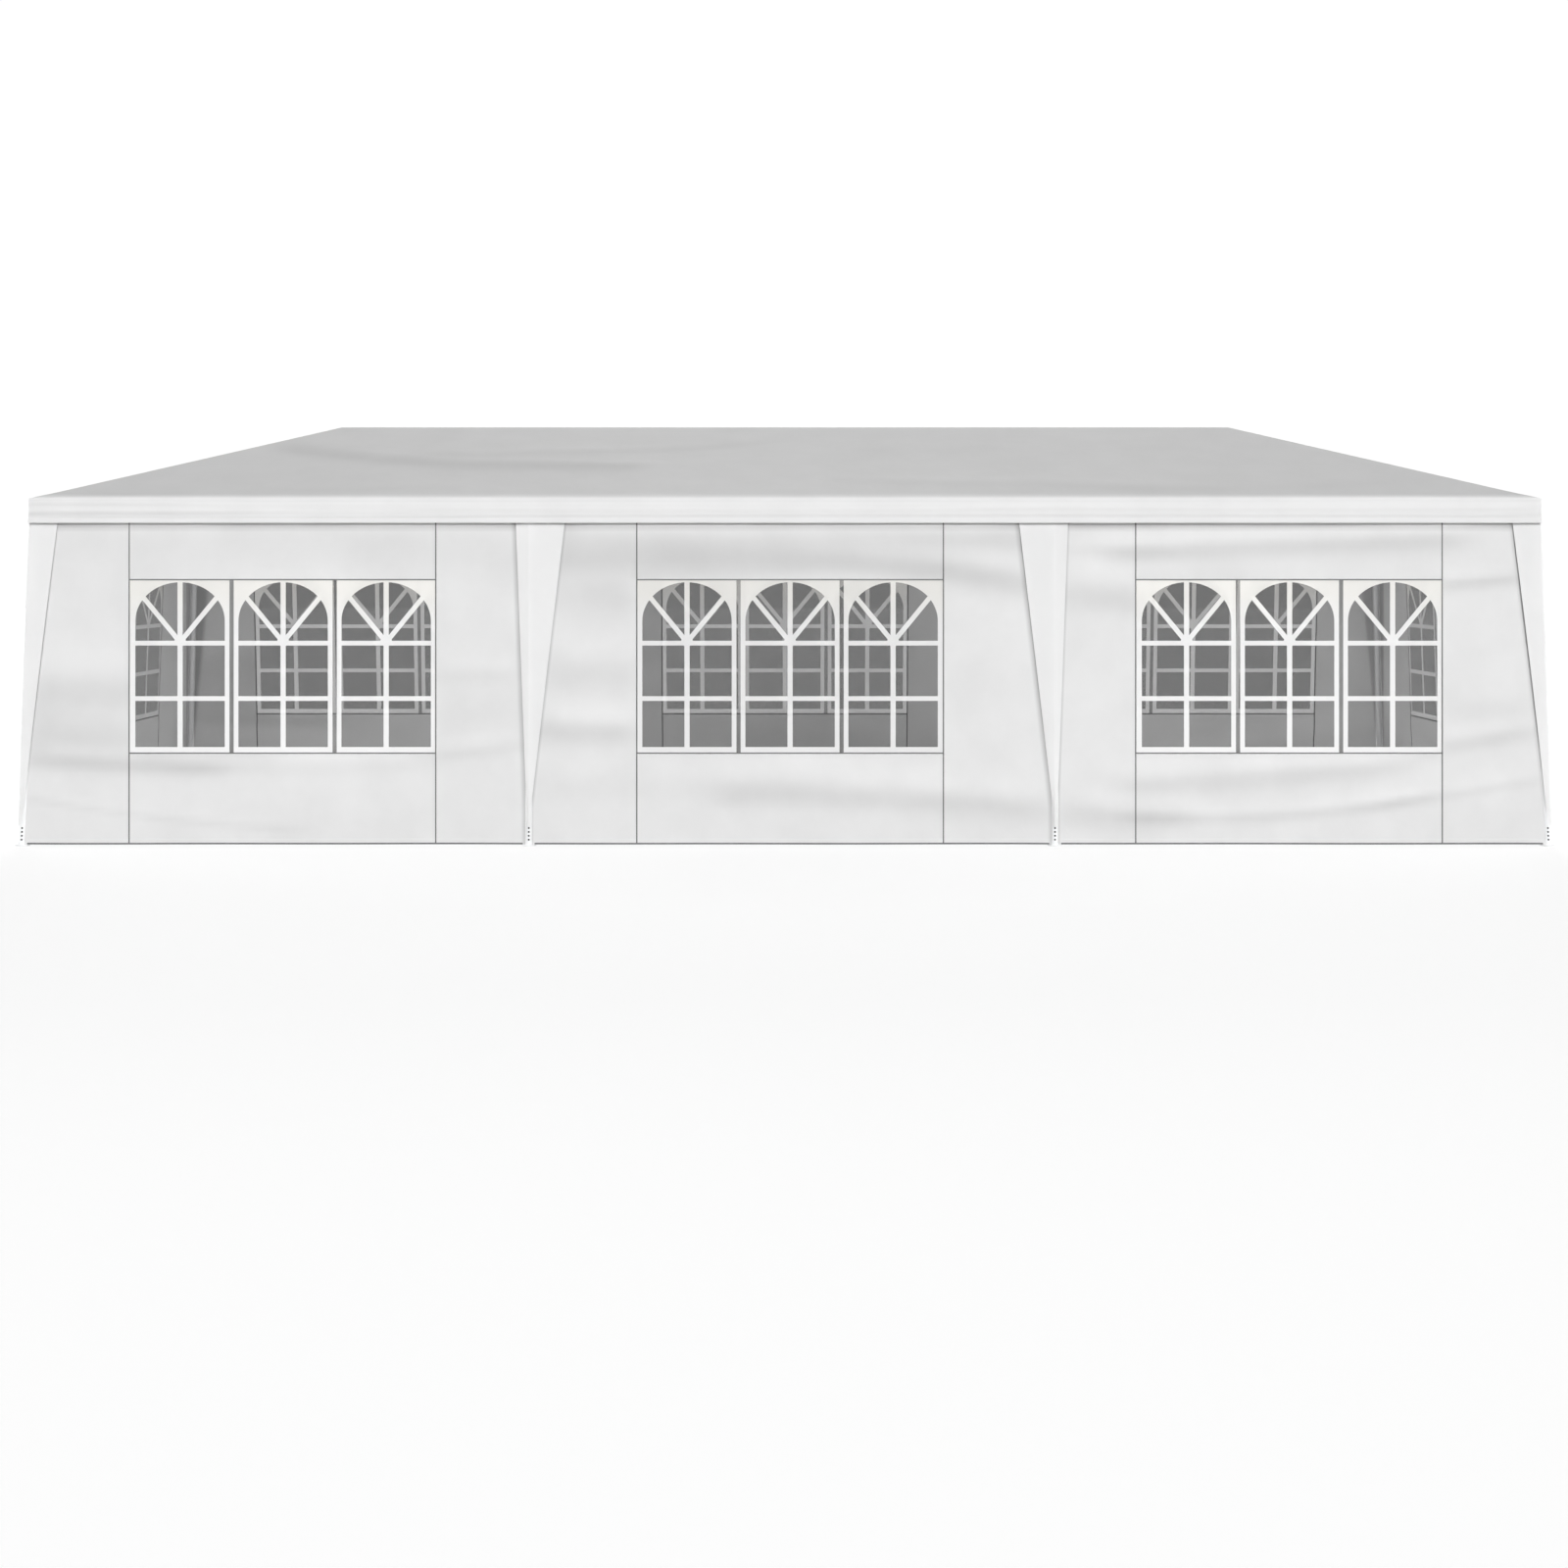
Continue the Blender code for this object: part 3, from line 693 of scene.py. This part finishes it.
# Leg drapes: cloth strips that hang from behind the valance and taper down each leg
drape = {
    "topHeight": cover["eaveHeight"] - cover["valanceDrop"] + 0.020,  # 20 mm up behind the valance
    "tipHeight": 0.118,
    "tipProud": 0.0255,        # how far the tip hangs outside the middle of its leg
    "behindValance": 0.006,
    "bulge": 0.008,            # halfway down
    "cornerOut": 0.0062,       # a corner drape hangs this far outside the end of the cover
    "cornerSpread": 0.003,     # and spreads this much more towards its tip
    "outerTop": 0.085,         # a middle drape's reach beside its leg, towards the end of the tent
    "innerTop": 0.209,         # and towards its middle
    "outerTip": 0.0140,
    "innerTip": 0.0125,
    "taper": 0.94,             # a middle drape has its narrowest from here down
    "cornerTop": 0.172,        # a corner drape's width on each side of the corner
    "cornerTip": 0.035,
    "cornerRound": 0.004,
    "cornerTipRound": 0.030,
    "curl": 0.006,             # a middle drape's edges curl round the leg
    "curlFade": 0.3,
    "thickness": 0.0014,
    "columns": 36,
    "rows": 72,
    "creaseDepth": 0.0025,     # one crease lies lengthwise, in shares of half the width from the middle
    "creasePlace": -0.08,
    "creaseHalf": 0.16,
    "creaseCalm": 0.7,         # share of it lost towards the tip
    "edgeProud": 0.0010,       # the doubled edges
    "edgeShare": 0.89,
    "tipTuck": 0.002,
}
legAtTip = tent["railHalfWidth"] + legSplay * (1 - drape["tipHeight"] / tent["railHeight"])
drape["tipOut"] = legAtTip + drape["tipProud"]


def clothGrid(columns, rows, width, height, middle):  # a flat sheet facing -Y
    return addShape(
        bpy.ops.mesh.primitive_grid_add, (width, height, 1), x_subdivisions=columns,
        y_subdivisions=rows, size=1, location=(middle[0], 0, middle[1]), rotation=(math.pi / 2, 0, 0),
    )


def shareDown(up):  # 0 at the top of a drape, 1 at its tip
    return np.clip((drape["topHeight"] - up) / (drape["topHeight"] - drape["tipHeight"]), 0, 1)


def reachBeside(legIndex, toward, down):  # how far a middle drape reaches from its leg, toward -X or +X
    kind = "outer" if (legIndex == 1) == (toward < 0) else "inner"
    narrow = np.minimum(down / drape["taper"], 1)
    return drape[kind + "Top"] + (drape[kind + "Tip"] - drape[kind + "Top"]) * narrow


def cornerHalf(down):  # half the width of a corner drape, and how round it turns the corner
    half = drape["cornerTop"] + (drape["cornerTip"] - drape["cornerTop"]) * down
    return half, drape["cornerRound"] + (drape["cornerTipRound"] - drape["cornerRound"]) * down


def cornerPlace(onEnd, down):  # where a corner drape turns the corner, out from the tent's middle
    top = cover["width"] / 2 - drape["behindValance"]
    splay = drape["tipOut"] - top
    if onEnd:
        return cover["length"] / 2 + drape["cornerOut"] + (splay + drape["cornerSpread"]) * down
    return top + splay * down


def makeDrape(row, out, legIndex):
    top, tip = drape["topHeight"], drape["tipHeight"]
    piece = clothGrid(drape["columns"], drape["rows"], 2, top - tip, (0, (top + tip) / 2))
    place = points(piece)
    across, up = place[:, 0].copy(), place[:, 2].copy()
    down = shareDown(up)
    bulge = drape["bulge"] * np.sin(math.pi * down)
    crease = drape["creaseDepth"] * np.exp(-(((across - drape["creasePlace"]) / drape["creaseHalf"]) ** 2))
    crease *= 1 - drape["creaseCalm"] * down
    crease += drape["edgeProud"] * (np.abs(across) > drape["edgeShare"])
    standOut = cornerPlace(False, down) + bulge
    if legIndex in (1, 2):
        low, high = reachBeside(legIndex, -1, down), reachBeside(legIndex, 1, down)
        place[:, 0] = legX[legIndex] + np.where(across < 0, across * low, across * high)
        # The strip curls round the leg more and more towards its tip
        curl = drape["curl"] * across**2 * ease(down / drape["curlFade"])
        place[:, 1] = out * (standOut + crease - curl)
        layUv(piece, place[:, 0], up)
    else:
        side = -1 if legIndex == 0 else 1
        half, bend = cornerHalf(down)
        # The strip turns the corner in a hyperbola, round at the tip and nearly sharp at the top
        strip = across * half
        inX = (-strip + np.sqrt(strip**2 + bend**2)) / 2
        inY = (strip + np.sqrt(strip**2 + bend**2)) / 2
        extra = crease - drape["tipTuck"] * down
        place[:, 0] = side * (cornerPlace(True, down) - inX + extra * (inX < inY))
        place[:, 1] = out * (standOut - inY + extra * (inX >= inY))
        layUv(piece, strip * side, up)
    setPoints(piece, place)
    editMode(piece)
    bpy.ops.mesh.normals_make_consistent(inside=False)
    objectMode()
    # The strip faces away from the tent
    faceOut = piece.data.polygons[len(piece.data.polygons) // 2].normal
    if faceOut.y * out < 0:
        editMode(piece)
        bpy.ops.mesh.flip_normals()
        objectMode()
    applyModifier(piece, "SOLIDIFY", thickness=drape["thickness"], offset=-1)
    name = f"leg_drape_{row}_{legNames[legIndex]}"
    finishPiece(piece, name, coverCloth, "canopy_cover")


for row, out in rows.items():
    for legIndex in range(4):
        makeDrape(row, out, legIndex)
print("marquee: leg drapes")


# Walls. Each is laid out flat as seen from outside, X along it and Z up, and then hung on its side.
wall = {
    "offset": 0.0210,            # the cloth's middle hangs just outside the rail sleeves
    "bottom": 0.010,
    "thickness": 0.0012,
    "cell": 0.030,
    "hemHeight": 0.030,          # the hem is doubled
    "hemProud": 0.0012,
    "hemStep": 0.0015,
    "calmWindow": 0.12,          # how much of a fold is left on the taut window panel
    "windowFade": 0.07,
    "sideFade": 0.20,
    "railCalm": 0.06,            # no fold this close below the rail
    "railFade": 0.16,
    # two broad waves: how deep, radians a metre along and up, and where they start
    "waves": [(0.0035, 4.1, 2.3, 0.0), (0.0030, -1.7, 7.3, 1.0)],
    "taper": 0.0031,             # the cloth is cut a little narrower towards its foot, a metre down
    "drawIn": 11.0,              # and bulging cloth is drawn in along the wall, by its depth over this
    "heldUnder": 0.04,           # it lies flat from this far under a drape's edge
    "heldFade": 0.14,
    # creases: a line through three places (along, up), its half width and how much painted shade
    # darkens it; the cloth bulges just above each one
    "bulge": 0.18,
    "bulgeMost": 0.012,
    "bulgeLift": 0.7,            # in half widths of the crease
    "bulgeShade": 0.08,          # a crease with less painted shade than this bulges less
    "creaseShade": 0.65,
    "frontCreases": {
        "left": [
            ((-4.60, 1.80), (-3.50, 1.80), (-1.40, 1.78), 0.140, 0.035),
            ((-2.60, 1.72), (-2.00, 1.70), (-1.45, 1.72), 0.160, 0.035),
            ((-4.60, 0.90), (-3.90, 0.90), (-3.30, 0.90), 0.130, 0.130),
            ((-4.60, 0.64), (-3.90, 0.63), (-3.10, 0.62), 0.130, 0.130),
            ((-4.60, 0.51), (-3.90, 0.475), (-3.35, 0.455), 0.050, 0.140),
            ((-3.60, 0.46), (-3.00, 0.46), (-2.20, 0.47), 0.040, 0.040),
            ((-4.60, 0.30), (-3.90, 0.185), (-2.90, 0.10), 0.022, 0.060),
            ((-2.10, 1.00), (-1.75, 1.01), (-1.45, 1.01), 0.050, 0.050),
            ((-2.10, 0.80), (-1.75, 0.80), (-1.45, 0.80), 0.170, 0.060),
            ((-2.15, 0.52), (-1.80, 0.56), (-1.45, 0.61), 0.045, 0.065),
        ],
        "middle": [
            ((-1.55, 1.69), (-0.60, 1.70), (0.10, 1.69), 0.100, 0.200),
            ((0.10, 1.69), (0.80, 1.64), (1.60, 1.52), 0.090, 0.190),
            ((-1.55, 1.82), (0.00, 1.82), (1.60, 1.82), 0.090, 0.110),
            ((-1.55, 1.50), (-1.20, 1.48), (-0.85, 1.48), 0.140, 0.090),
            ((-1.55, 1.00), (-1.20, 1.00), (-0.85, 1.00), 0.120, 0.080),
            ((-1.55, 0.68), (-1.20, 0.67), (-0.85, 0.67), 0.075, 0.130),
            ((-1.55, 0.33), (-0.60, 0.34), (0.30, 0.36), 0.100, 0.030),
            ((-0.40, 0.31), (0.50, 0.28), (1.60, 0.20), 0.085, 0.110),
        ],
        "right": [
            ((1.60, 1.49), (1.85, 1.47), (2.15, 1.46), 0.100, 0.130),
            ((1.60, 1.75), (1.85, 1.75), (2.30, 1.74), 0.040, 0.045),
            ((1.95, 1.73), (2.70, 1.76), (4.10, 1.82), 0.065, 0.110),
            ((3.75, 1.535), (4.15, 1.56), (4.60, 1.60), 0.040, 0.105),
            ((1.60, 0.20), (2.00, 0.17), (2.40, 0.17), 0.080, 0.090),
            ((2.00, 0.175), (2.88, 0.17), (3.85, 0.29), 0.035, 0.090),
            ((3.45, 0.225), (3.95, 0.30), (4.60, 0.405), 0.028, 0.060),
            ((2.00, 0.345), (2.80, 0.39), (3.75, 0.475), 0.070, 0.080),
            ((3.75, 0.56), (4.10, 0.61), (4.60, 0.69), 0.050, 0.090),
            ((3.90, 0.80), (4.20, 0.80), (4.60, 0.83), 0.080, 0.025),
        ],
    },
    "endCreases": [
        ((-1.60, 0.50), (-0.60, 0.42), (0.60, 0.36), 0.055, 0.080),
        ((-0.40, 0.17), (0.60, 0.20), (1.60, 0.30), 0.040, 0.070),
        ((-1.60, 1.80), (0.00, 1.77), (1.60, 1.82), 0.060, 0.060),
        ((0.85, 1.05), (1.25, 1.02), (1.60, 1.03), 0.090, 0.060),
        ((-1.60, 1.25), (-1.25, 1.20), (-0.85, 1.22), 0.080, 0.060),
    ],
}
window = {
    "height": 1.030,             # of the pattern; a panel stretches it to its own height
    "lap": 0.020,                # the film runs this far behind the cloth
    "openingHalf": 0.266,
    "pitch": 0.613,
    # how far the three windows sit right of their panel's middle
    "shift": {"front_left": 0.004, "front_right": 0.004},
    "bottomBar": 0.036,
    "springing": 0.785,
    "archRise": 0.230,
    "lowerBar": 0.3235,
    "upperBar": 0.6525,
    "barHalf": 0.0140,
    "centreBarHalf": 0.0155,
    "diagonalHalf": 0.0145,
    "diagonalTurn": 39.4,        # degrees from upright
    "hubRadius": 0.034,
    "hubHeight": 0.658,
    "hubRise": 0.008,            # the round boss sits above where the diagonals cross
    "stripHalf": 0.0125,         # the bare vinyl between two printed windows
    "thickness": 0.0007,
    "paneThickness": 0.0005,
    "cell": 0.06,
    "tableDepth": 0.04,          # cut thick on the table, for clean cuts, then flattened
    "seamWidth": 0.0075,
    "seamThickness": 0.0006,
    # painted shadow: a dark strip along the wall's foot stands in for the shadow in the gap under the hem
    "gapShadowHeight": 0.0095,
    "gapShadowShort": 0.03,
    "gapShadowLow": 0.0005,        # it stands out under the hem by this
    "printDepth": 0.9,           # of the panes' depth on the table
    "edgeKeep": 0.015,           # the shift fades out this close to a panel's edge
    "shares": {"print": 0.42, "clear": 0.58},
}


def wallPlan(sideName, bay):  # where a wall and its window panel lie, seen from outside
    turn = ("front", "right", "back", "left").index(sideName)
    axis, sign = turn % 2, (1 if turn < 2 else -1)
    nodeName = f"{sideName}_{bay}" if bay else sideName
    low, high = sorted(corner[axis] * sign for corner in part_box("wall_" + nodeName))
    filmLow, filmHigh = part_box("window_film_" + nodeName)
    film = sorted((filmLow[axis] * sign, filmHigh[axis] * sign))
    windowLow, windowHigh = film[0] + window["lap"], film[1] - window["lap"]
    sill, head = filmLow.z + window["lap"], filmHigh.z - window["lap"]
    halves = (tent["railHalfLength"], tent["railHalfWidth"])
    if bay:  # a back wall has the creases of the wall that it faces
        index = bayNames.index(bay)
        legs, creases = (index, index + 1)[::sign], wall["frontCreases"][bay]
    else:
        legs, creases = (0, 3), wall["endCreases"]
    creases = [(*sorted((x * sign, z) for x, z in crease[:3]), *crease[3:]) for crease in creases]
    folds = []
    for *line, halfWidth, shade in creases:
        rise = min(wall["bulge"] * halfWidth, wall["bulgeMost"]) * min(1, shade / wall["bulgeShade"])
        folds.append((*[(x, z + wall["bulgeLift"] * halfWidth) for x, z in line], halfWidth, rise))
    return {
        "name": nodeName,
        "turn": turn,
        "sign": sign,
        "out": halves[1 - axis],   # how far this side's rail lies from the tent's middle
        "low": low,
        "high": high,
        "leansLow": low < -halves[axis],
        "leansHigh": high > halves[axis],
        "windowLow": windowLow,
        "windowHigh": windowHigh,
        "sill": sill,
        "head": head,
        "middle": (windowLow + windowHigh) / 2,
        "width": windowHigh - windowLow,
        "height": head - sill,
        "legs": legs,              # the legs at its two ends
        "creases": creases,
        "folds": folds,
    }


def wallDepth(plan, along, up):  # how far the hanging cloth stands out from its flat plane
    fade = wall["sideFade"]
    free = ease((along - plan["low"]) / fade) * ease((plan["high"] - along) / fade)
    free *= ease((tent["railHeight"] - wall["railCalm"] - up) / wall["railFade"])
    fade = wall["windowFade"]
    inside = ease((plan["width"] / 2 + fade - np.abs(along - plan["middle"])) / fade)
    inside *= ease((up - plan["sill"] + fade) / fade) * ease((plan["head"] + fade - up) / fade)
    broad = sum(rise * np.sin(a * along + b * up + start) for rise, a, b, start in wall["waves"])
    calm = 1 - (1 - wall["calmWindow"]) * inside
    return (broad + foldDepth(plan["folds"], along, up)) * free * calm


def layGaps(plan, piece, along, up):  # how far each point lies from the drapes at the wall's ends
    down = shareDown(up)
    half, bend = cornerHalf(down)
    corner = cornerPlace(plan["turn"] % 2 == 0, down)
    cornerEdge = corner - (half + np.sqrt(half**2 + bend**2)) / 2
    gaps = []
    for name, end, legIndex in zip(("drapeLow", "drapeHigh"), (-1, 1), plan["legs"]):
        if legIndex in (0, 3):
            gap = cornerEdge - end * along + wallShadow["cornerEase"]
        else:
            reach = reachBeside(legIndex, -end * plan["sign"], down)
            gap = end * (plan["sign"] * legX[legIndex] - along) - reach
        # the wall's material paints shadow beside the drapes from these gaps
        layNumber(piece, name, gap)
        gaps.append(gap)
    return np.minimum(*gaps)


def hangOn(plan, piece):  # hangs a flat piece on its side of the tent
    place = points(piece)
    along, toward, up = place[:, 0].copy(), -place[:, 1], place[:, 2].copy()
    lean = legSplay * (tent["railHeight"] - up) / tent["railHeight"]
    layUv(piece, along, up)
    # painted shade along the creases, which the material reads
    layNumber(piece, "shade", wall["creaseShade"] * foldDepth(plan["creases"], along, up))
    depth = toward + wallDepth(plan, along, up)
    lowRun, highRun = plan["windowLow"] - plan["low"], plan["high"] - plan["windowHigh"]
    inner = np.clip(np.minimum((along - plan["low"]) / lowRun, (plan["high"] - along) / highRun), 0, 1)
    taper = wall["taper"] * (up - (plan["sill"] + plan["head"]) / 2) * inner
    along = along * (1 + taper) * (1 - depth / wall["drawIn"])
    # Beyond the window panel the cloth widens towards a splayed corner leg
    full = legSplay * (tent["railHeight"] - wall["bottom"]) / tent["railHeight"]
    if plan["leansLow"]:
        along = along + np.clip((plan["windowLow"] - along) / lowRun, 0, 1) * (full - lean)
    if plan["leansHigh"]:
        along = along - np.clip((along - plan["windowHigh"]) / highRun, 0, 1) * (full - lean)
    # Under the drapes and close beside them the cloth is held back
    free = ease((layGaps(plan, piece, along, up) + wall["heldUnder"]) / wall["heldFade"])
    outward = plan["out"] + lean + wall["offset"] + toward + (depth - toward) * free
    turn = plan["turn"] * math.pi / 2
    cosine, sine = round(math.cos(turn)), round(math.sin(turn))
    place[:, 0] = along * cosine + outward * sine
    place[:, 1] = along * sine - outward * cosine
    setPoints(piece, place)


def doubleHem(piece):  # a flat piece stands out by a layer of cloth below the top of the hem
    hemTop = wall["bottom"] + wall["hemHeight"]
    slicePiece(piece, 2, [hemTop, hemTop + wall["hemStep"]])
    place = points(piece)
    place[:, 1] -= wall["hemProud"] * (place[:, 2] < hemTop + wall["hemStep"] / 3)
    setPoints(piece, place)


def makeWallCloth(plan):
    width, height = plan["high"] - plan["low"], tent["railHeight"] - wall["bottom"]
    middle = ((plan["low"] + plan["high"]) / 2, wall["bottom"] + height / 2)
    piece = clothGrid(round(width / wall["cell"]), round(height / wall["cell"]), width, height, middle)
    slicePiece(piece, 0, [plan["windowLow"], plan["windowHigh"]])
    slicePiece(piece, 2, [plan["sill"], plan["head"]])
    doubleHem(piece)

    def inWindow(face):
        x, _, z = face.calc_center_median()
        return plan["windowLow"] < x < plan["windowHigh"] and plan["sill"] < z < plan["head"]

    editMode(piece)
    pick(piece, "FACE", inWindow)
    bpy.ops.mesh.delete(type="FACE")
    objectMode()
    hangOn(plan, piece)
    applyModifier(piece, "SOLIDIFY", thickness=wall["thickness"], offset=0)
    finishPiece(piece, "wall_cloth_" + plan["name"], wallCloth, "wall_" + plan["name"])


def makeSeams(plan):  # the tapes round the window panel, from valance to hem, and a dark strip along the foot, painted shadow of the gap under the wall
    size = window["seamWidth"]
    height = tent["railHeight"] - wall["bottom"]
    strips = []
    for along in (plan["windowLow"], plan["windowHigh"]):
        middle = (along, wall["bottom"] + height / 2)
        strips.append(clothGrid(1, round(height / wall["cell"]), size, height, middle))
        doubleHem(strips[-1])
    columns = round(plan["width"] / wall["cell"])
    for up in (plan["sill"], plan["head"]):
        strips.append(clothGrid(columns, 1, plan["width"] - size, size, (plan["middle"], up)))
    # the strip along the foot is painted shadow of the gap under the wall
    length, height = plan["high"] - plan["low"] - window["gapShadowShort"], window["gapShadowHeight"]
    middle = ((plan["low"] + plan["high"]) / 2, wall["bottom"] + height / 2 - window["gapShadowLow"])
    gapShadow = clothGrid(round(length / wall["cell"]), 1, length, height, middle)
    moveMesh(gapShadow, (0, -wall["hemProud"], 0))
    piece = joinPieces([*strips, gapShadow])
    hangOn(plan, piece)
    applyModifier(piece, "SOLIDIFY", thickness=wall["thickness"] + 2 * window["seamThickness"], offset=0)
    finishPiece(piece, "seam_tape_and_gap_shadow_" + plan["name"], seamTapeAndGapShadow, "wall_" + plan["name"])


def windowOpening():  # the clear panes of one arched window, cut thick, with its foot at Z 0
    deep, over = window["tableDepth"] / 2, window["tableDepth"]
    half, bar, centreBar = window["openingHalf"], window["barHalf"], window["centreBarHalf"]
    springing, hub = (0, 0, window["springing"]), (0, 0, window["hubHeight"])
    panes = addBox((-half, -deep, window["bottomBar"]), (half, deep, window["springing"]))
    arch = addRound(64, half, 2 * deep, springing, scale=(1, window["archRise"] / half, 1))
    cut(panes, arch, "UNION")
    # The bars are cut by boxes that reach past the pattern
    cut(panes, addBox((-centreBar, -over, -1), (centreBar, over, 2)))
    for up in (window["lowerBar"], window["upperBar"]):
        cut(panes, addBox((-1, -over, up - bar), (1, over, up + bar)))
    for turn in (-1, 1):
        thin = window["diagonalHalf"]
        diagonal = addBox((-thin, -over, window["hubHeight"]), (thin, over, 2))
        editMode(diagonal)
        bpy.ops.transform.rotate(
            value=math.radians(window["diagonalTurn"]) * turn, orient_axis="Y", center_override=hub,
        )
        objectMode()
        cut(panes, diagonal)
    boss = (0, 0, window["hubHeight"] + window["hubRise"])
    cut(panes, addRound(32, window["hubRadius"], 2 * over, boss))
    return panes


def makePanelPattern():  # the printed sheet of three windows and its clear panes, flat on the table
    filmLow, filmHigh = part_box("window_film_front_left")
    panelHalf = (filmHigh.x - filmLow.x - 2 * window["lap"]) / 2
    deep = window["tableDepth"] / 2
    opening = windowOpening()
    clears = []
    for index in (-1, 0, 1):
        clears.append(moveMesh(copyPiece(opening, "opening"), (index * window["pitch"], 0, 0)))
    for index in (-0.5, 0.5):
        middle, half = index * window["pitch"], window["stripHalf"]
        clears.append(addBox((middle - half, -deep, 0), (middle + half, deep, window["height"])))
    bpy.data.objects.remove(opening)
    clear = joinPieces(clears)
    deep *= window["printDepth"]
    printed = addBox((-panelHalf, -deep, 0), (panelHalf, deep, window["height"]))
    cut(printed, copyPiece(clear, "cutter"))
    for piece, thickness in ((printed, window["thickness"]), (clear, window["paneThickness"])):
        slicePiece(piece, 0, steps(-panelHalf, panelHalf, window["cell"]))
        slicePiece(piece, 2, steps(0, window["height"], window["cell"]))
        place = points(piece)
        place[:, 1] = np.sign(place[:, 1]) * thickness / 2
        setPoints(piece, place)
    return printed, clear, 2 * panelHalf


def makeWindow(plan, printed, clear, panelWidth):
    shift = window["shift"].get(plan["name"], 0)
    for source, kind, material in ((printed, "print", windowInk), (clear, "clear", windowVinyl)):
        name = f"window_{kind}_{plan['name']}"
        piece = copyPiece(source, name)
        place = points(piece)
        # The panel's edges stay put, and all between them shifts
        inner = ease((panelWidth / 2 - np.abs(place[:, 0])) / window["edgeKeep"])
        place[:, 0] = place[:, 0] * plan["width"] / panelWidth + plan["middle"] + shift * inner
        place[:, 2] = place[:, 2] * plan["height"] / window["height"] + plan["sill"]
        setPoints(piece, place)
        hangOn(plan, piece)
        finishPiece(piece, name, material, "window_film_" + plan["name"], 25)


printed, clear, panelWidth = makePanelPattern()
for sideName, bays in (("front", bayNames), ("back", bayNames), ("left", [""]), ("right", [""])):
    for bay in bays:
        plan = wallPlan(sideName, bay)
        makeWallCloth(plan)
        makeSeams(plan)
        makeWindow(plan, printed, clear, panelWidth)
bpy.data.objects.remove(printed)
bpy.data.objects.remove(clear)
print("marquee: walls and windows")


# Legs: a coated tube with adjusting holes near its foot, on a pressed foot plate
leg = {
    "radius": 0.019,
    "wallThickness": 0.0015,
    "sides": 40,
    "holeRadius": 0.0055,
    "holeCount": 4,
    "firstHole": 0.037,
    "holePitch": 0.0228,
    "footEdge": 0.003,
    # the foot plate's radius and height at each turn, from its edge in to the tube
    "footProfile": [
        (0.0320, 0.00558), (0.0260, 0.0090), (0.0235, 0.0130), (0.0235, 0.0250),
        (0.0227, 0.0260), (0.0194, 0.0260), (0.0194, 0.0030),
    ],
    "sleeve": 0.10,            # the tube stops below the fitting
    "sleeveGap": 0.0005,
}


def makeLegPattern(length):  # a straight leg that stands on the origin
    edge = leg["footEdge"]
    tube = addRound(leg["sides"], leg["radius"], length - edge, (0, 0, (length + edge) / 2), 0)
    editMode(tube)
    pick(tube, "FACE", lambda face: abs(face.normal.z) > 0.5)
    bpy.ops.mesh.delete(type="ONLY_FACE")
    objectMode()
    applyModifier(tube, "SOLIDIFY", thickness=leg["wallThickness"], offset=-1)
    for index in range(leg["holeCount"]):
        hole = (0, -leg["radius"], leg["firstHole"] + index * leg["holePitch"])
        cut(tube, addRound(20, leg["holeRadius"], 2 * leg["radius"], hole))

    foot = addRound(leg["sides"], footRadius, edge, (0, 0, edge / 2), 0)
    editMode(foot)
    pick(foot, "FACE", lambda face: face.normal.z > 0.5)
    radius, height = footRadius, edge
    for nextRadius, nextHeight in leg["footProfile"]:
        bpy.ops.mesh.extrude_region_move(TRANSFORM_OT_translate={"value": (0, 0, nextHeight - height)})
        bpy.ops.transform.resize(value=(nextRadius / radius, nextRadius / radius, 1))
        radius, height = nextRadius, nextHeight
    objectMode()
    return joinPieces([tube, foot])


def makeLegs():
    inside = leg["radius"] - leg["wallThickness"] / 3  # no face outside the tube lies within this
    patterns, insides = {}, {}  # the straight legs, and the faces inside their tubes
    for kind, splayX in (("mid", 0), ("corner", legSplay)):
        rise = Vector((splayX, legSplay, tent["railHeight"])).length
        patterns[kind] = makeLegPattern(rise - leg["sleeve"] - leg["sleeveGap"])
        insides[kind] = [
            face.index for face in patterns[kind].data.polygons
            if face.normal.xy.dot(face.center.xy) < 0 and face.center.xy.length < inside
        ]
    for row, out in rows.items():
        for name, topX in zip(legNames, legX):
            kind = "mid" if name.startswith("mid") else "corner"
            lean = legSplay if kind == "corner" else 0
            foot = Vector((topX + math.copysign(lean, topX), out * tent["footHalfWidth"], 0))
            top = Vector((topX, out * tent["railHalfWidth"], tent["railHeight"]))
            legName = f"{row}_{name}"
            piece = copyPiece(patterns[kind], "leg_tube_" + legName)
            # The tube is sheared over to its top, so that its foot plate stays flat on the ground
            place = points(piece)
            place[:, :2] *= -out  # the holes face outwards
            share = place[:, 2] / tent["railHeight"]
            place[:, 0] += foot.x + (top.x - foot.x) * share
            place[:, 1] += foot.y + (top.y - foot.y) * share
            setPoints(piece, place)
            finishPiece(piece, piece.name, coatedSteel, "leg_" + legName, 30)
            piece.data.materials.append(bareSteel)
            for index in insides[kind]:
                piece.data.polygons[index].material_index = 1
    for pattern in patterns.values():
        bpy.data.objects.remove(pattern)


makeLegs()
print("marquee: legs")


# The roof tubes and their fittings keep their own shapes and take the finishes
for name, node in frame["nodes"].items():
    if node.hide_render:
        continue
    node.data.materials.clear()
    node.data.materials.append(fittingPlastic if "fitting" in name else coatedSteel)
print("marquee: frame tubes and fittings")
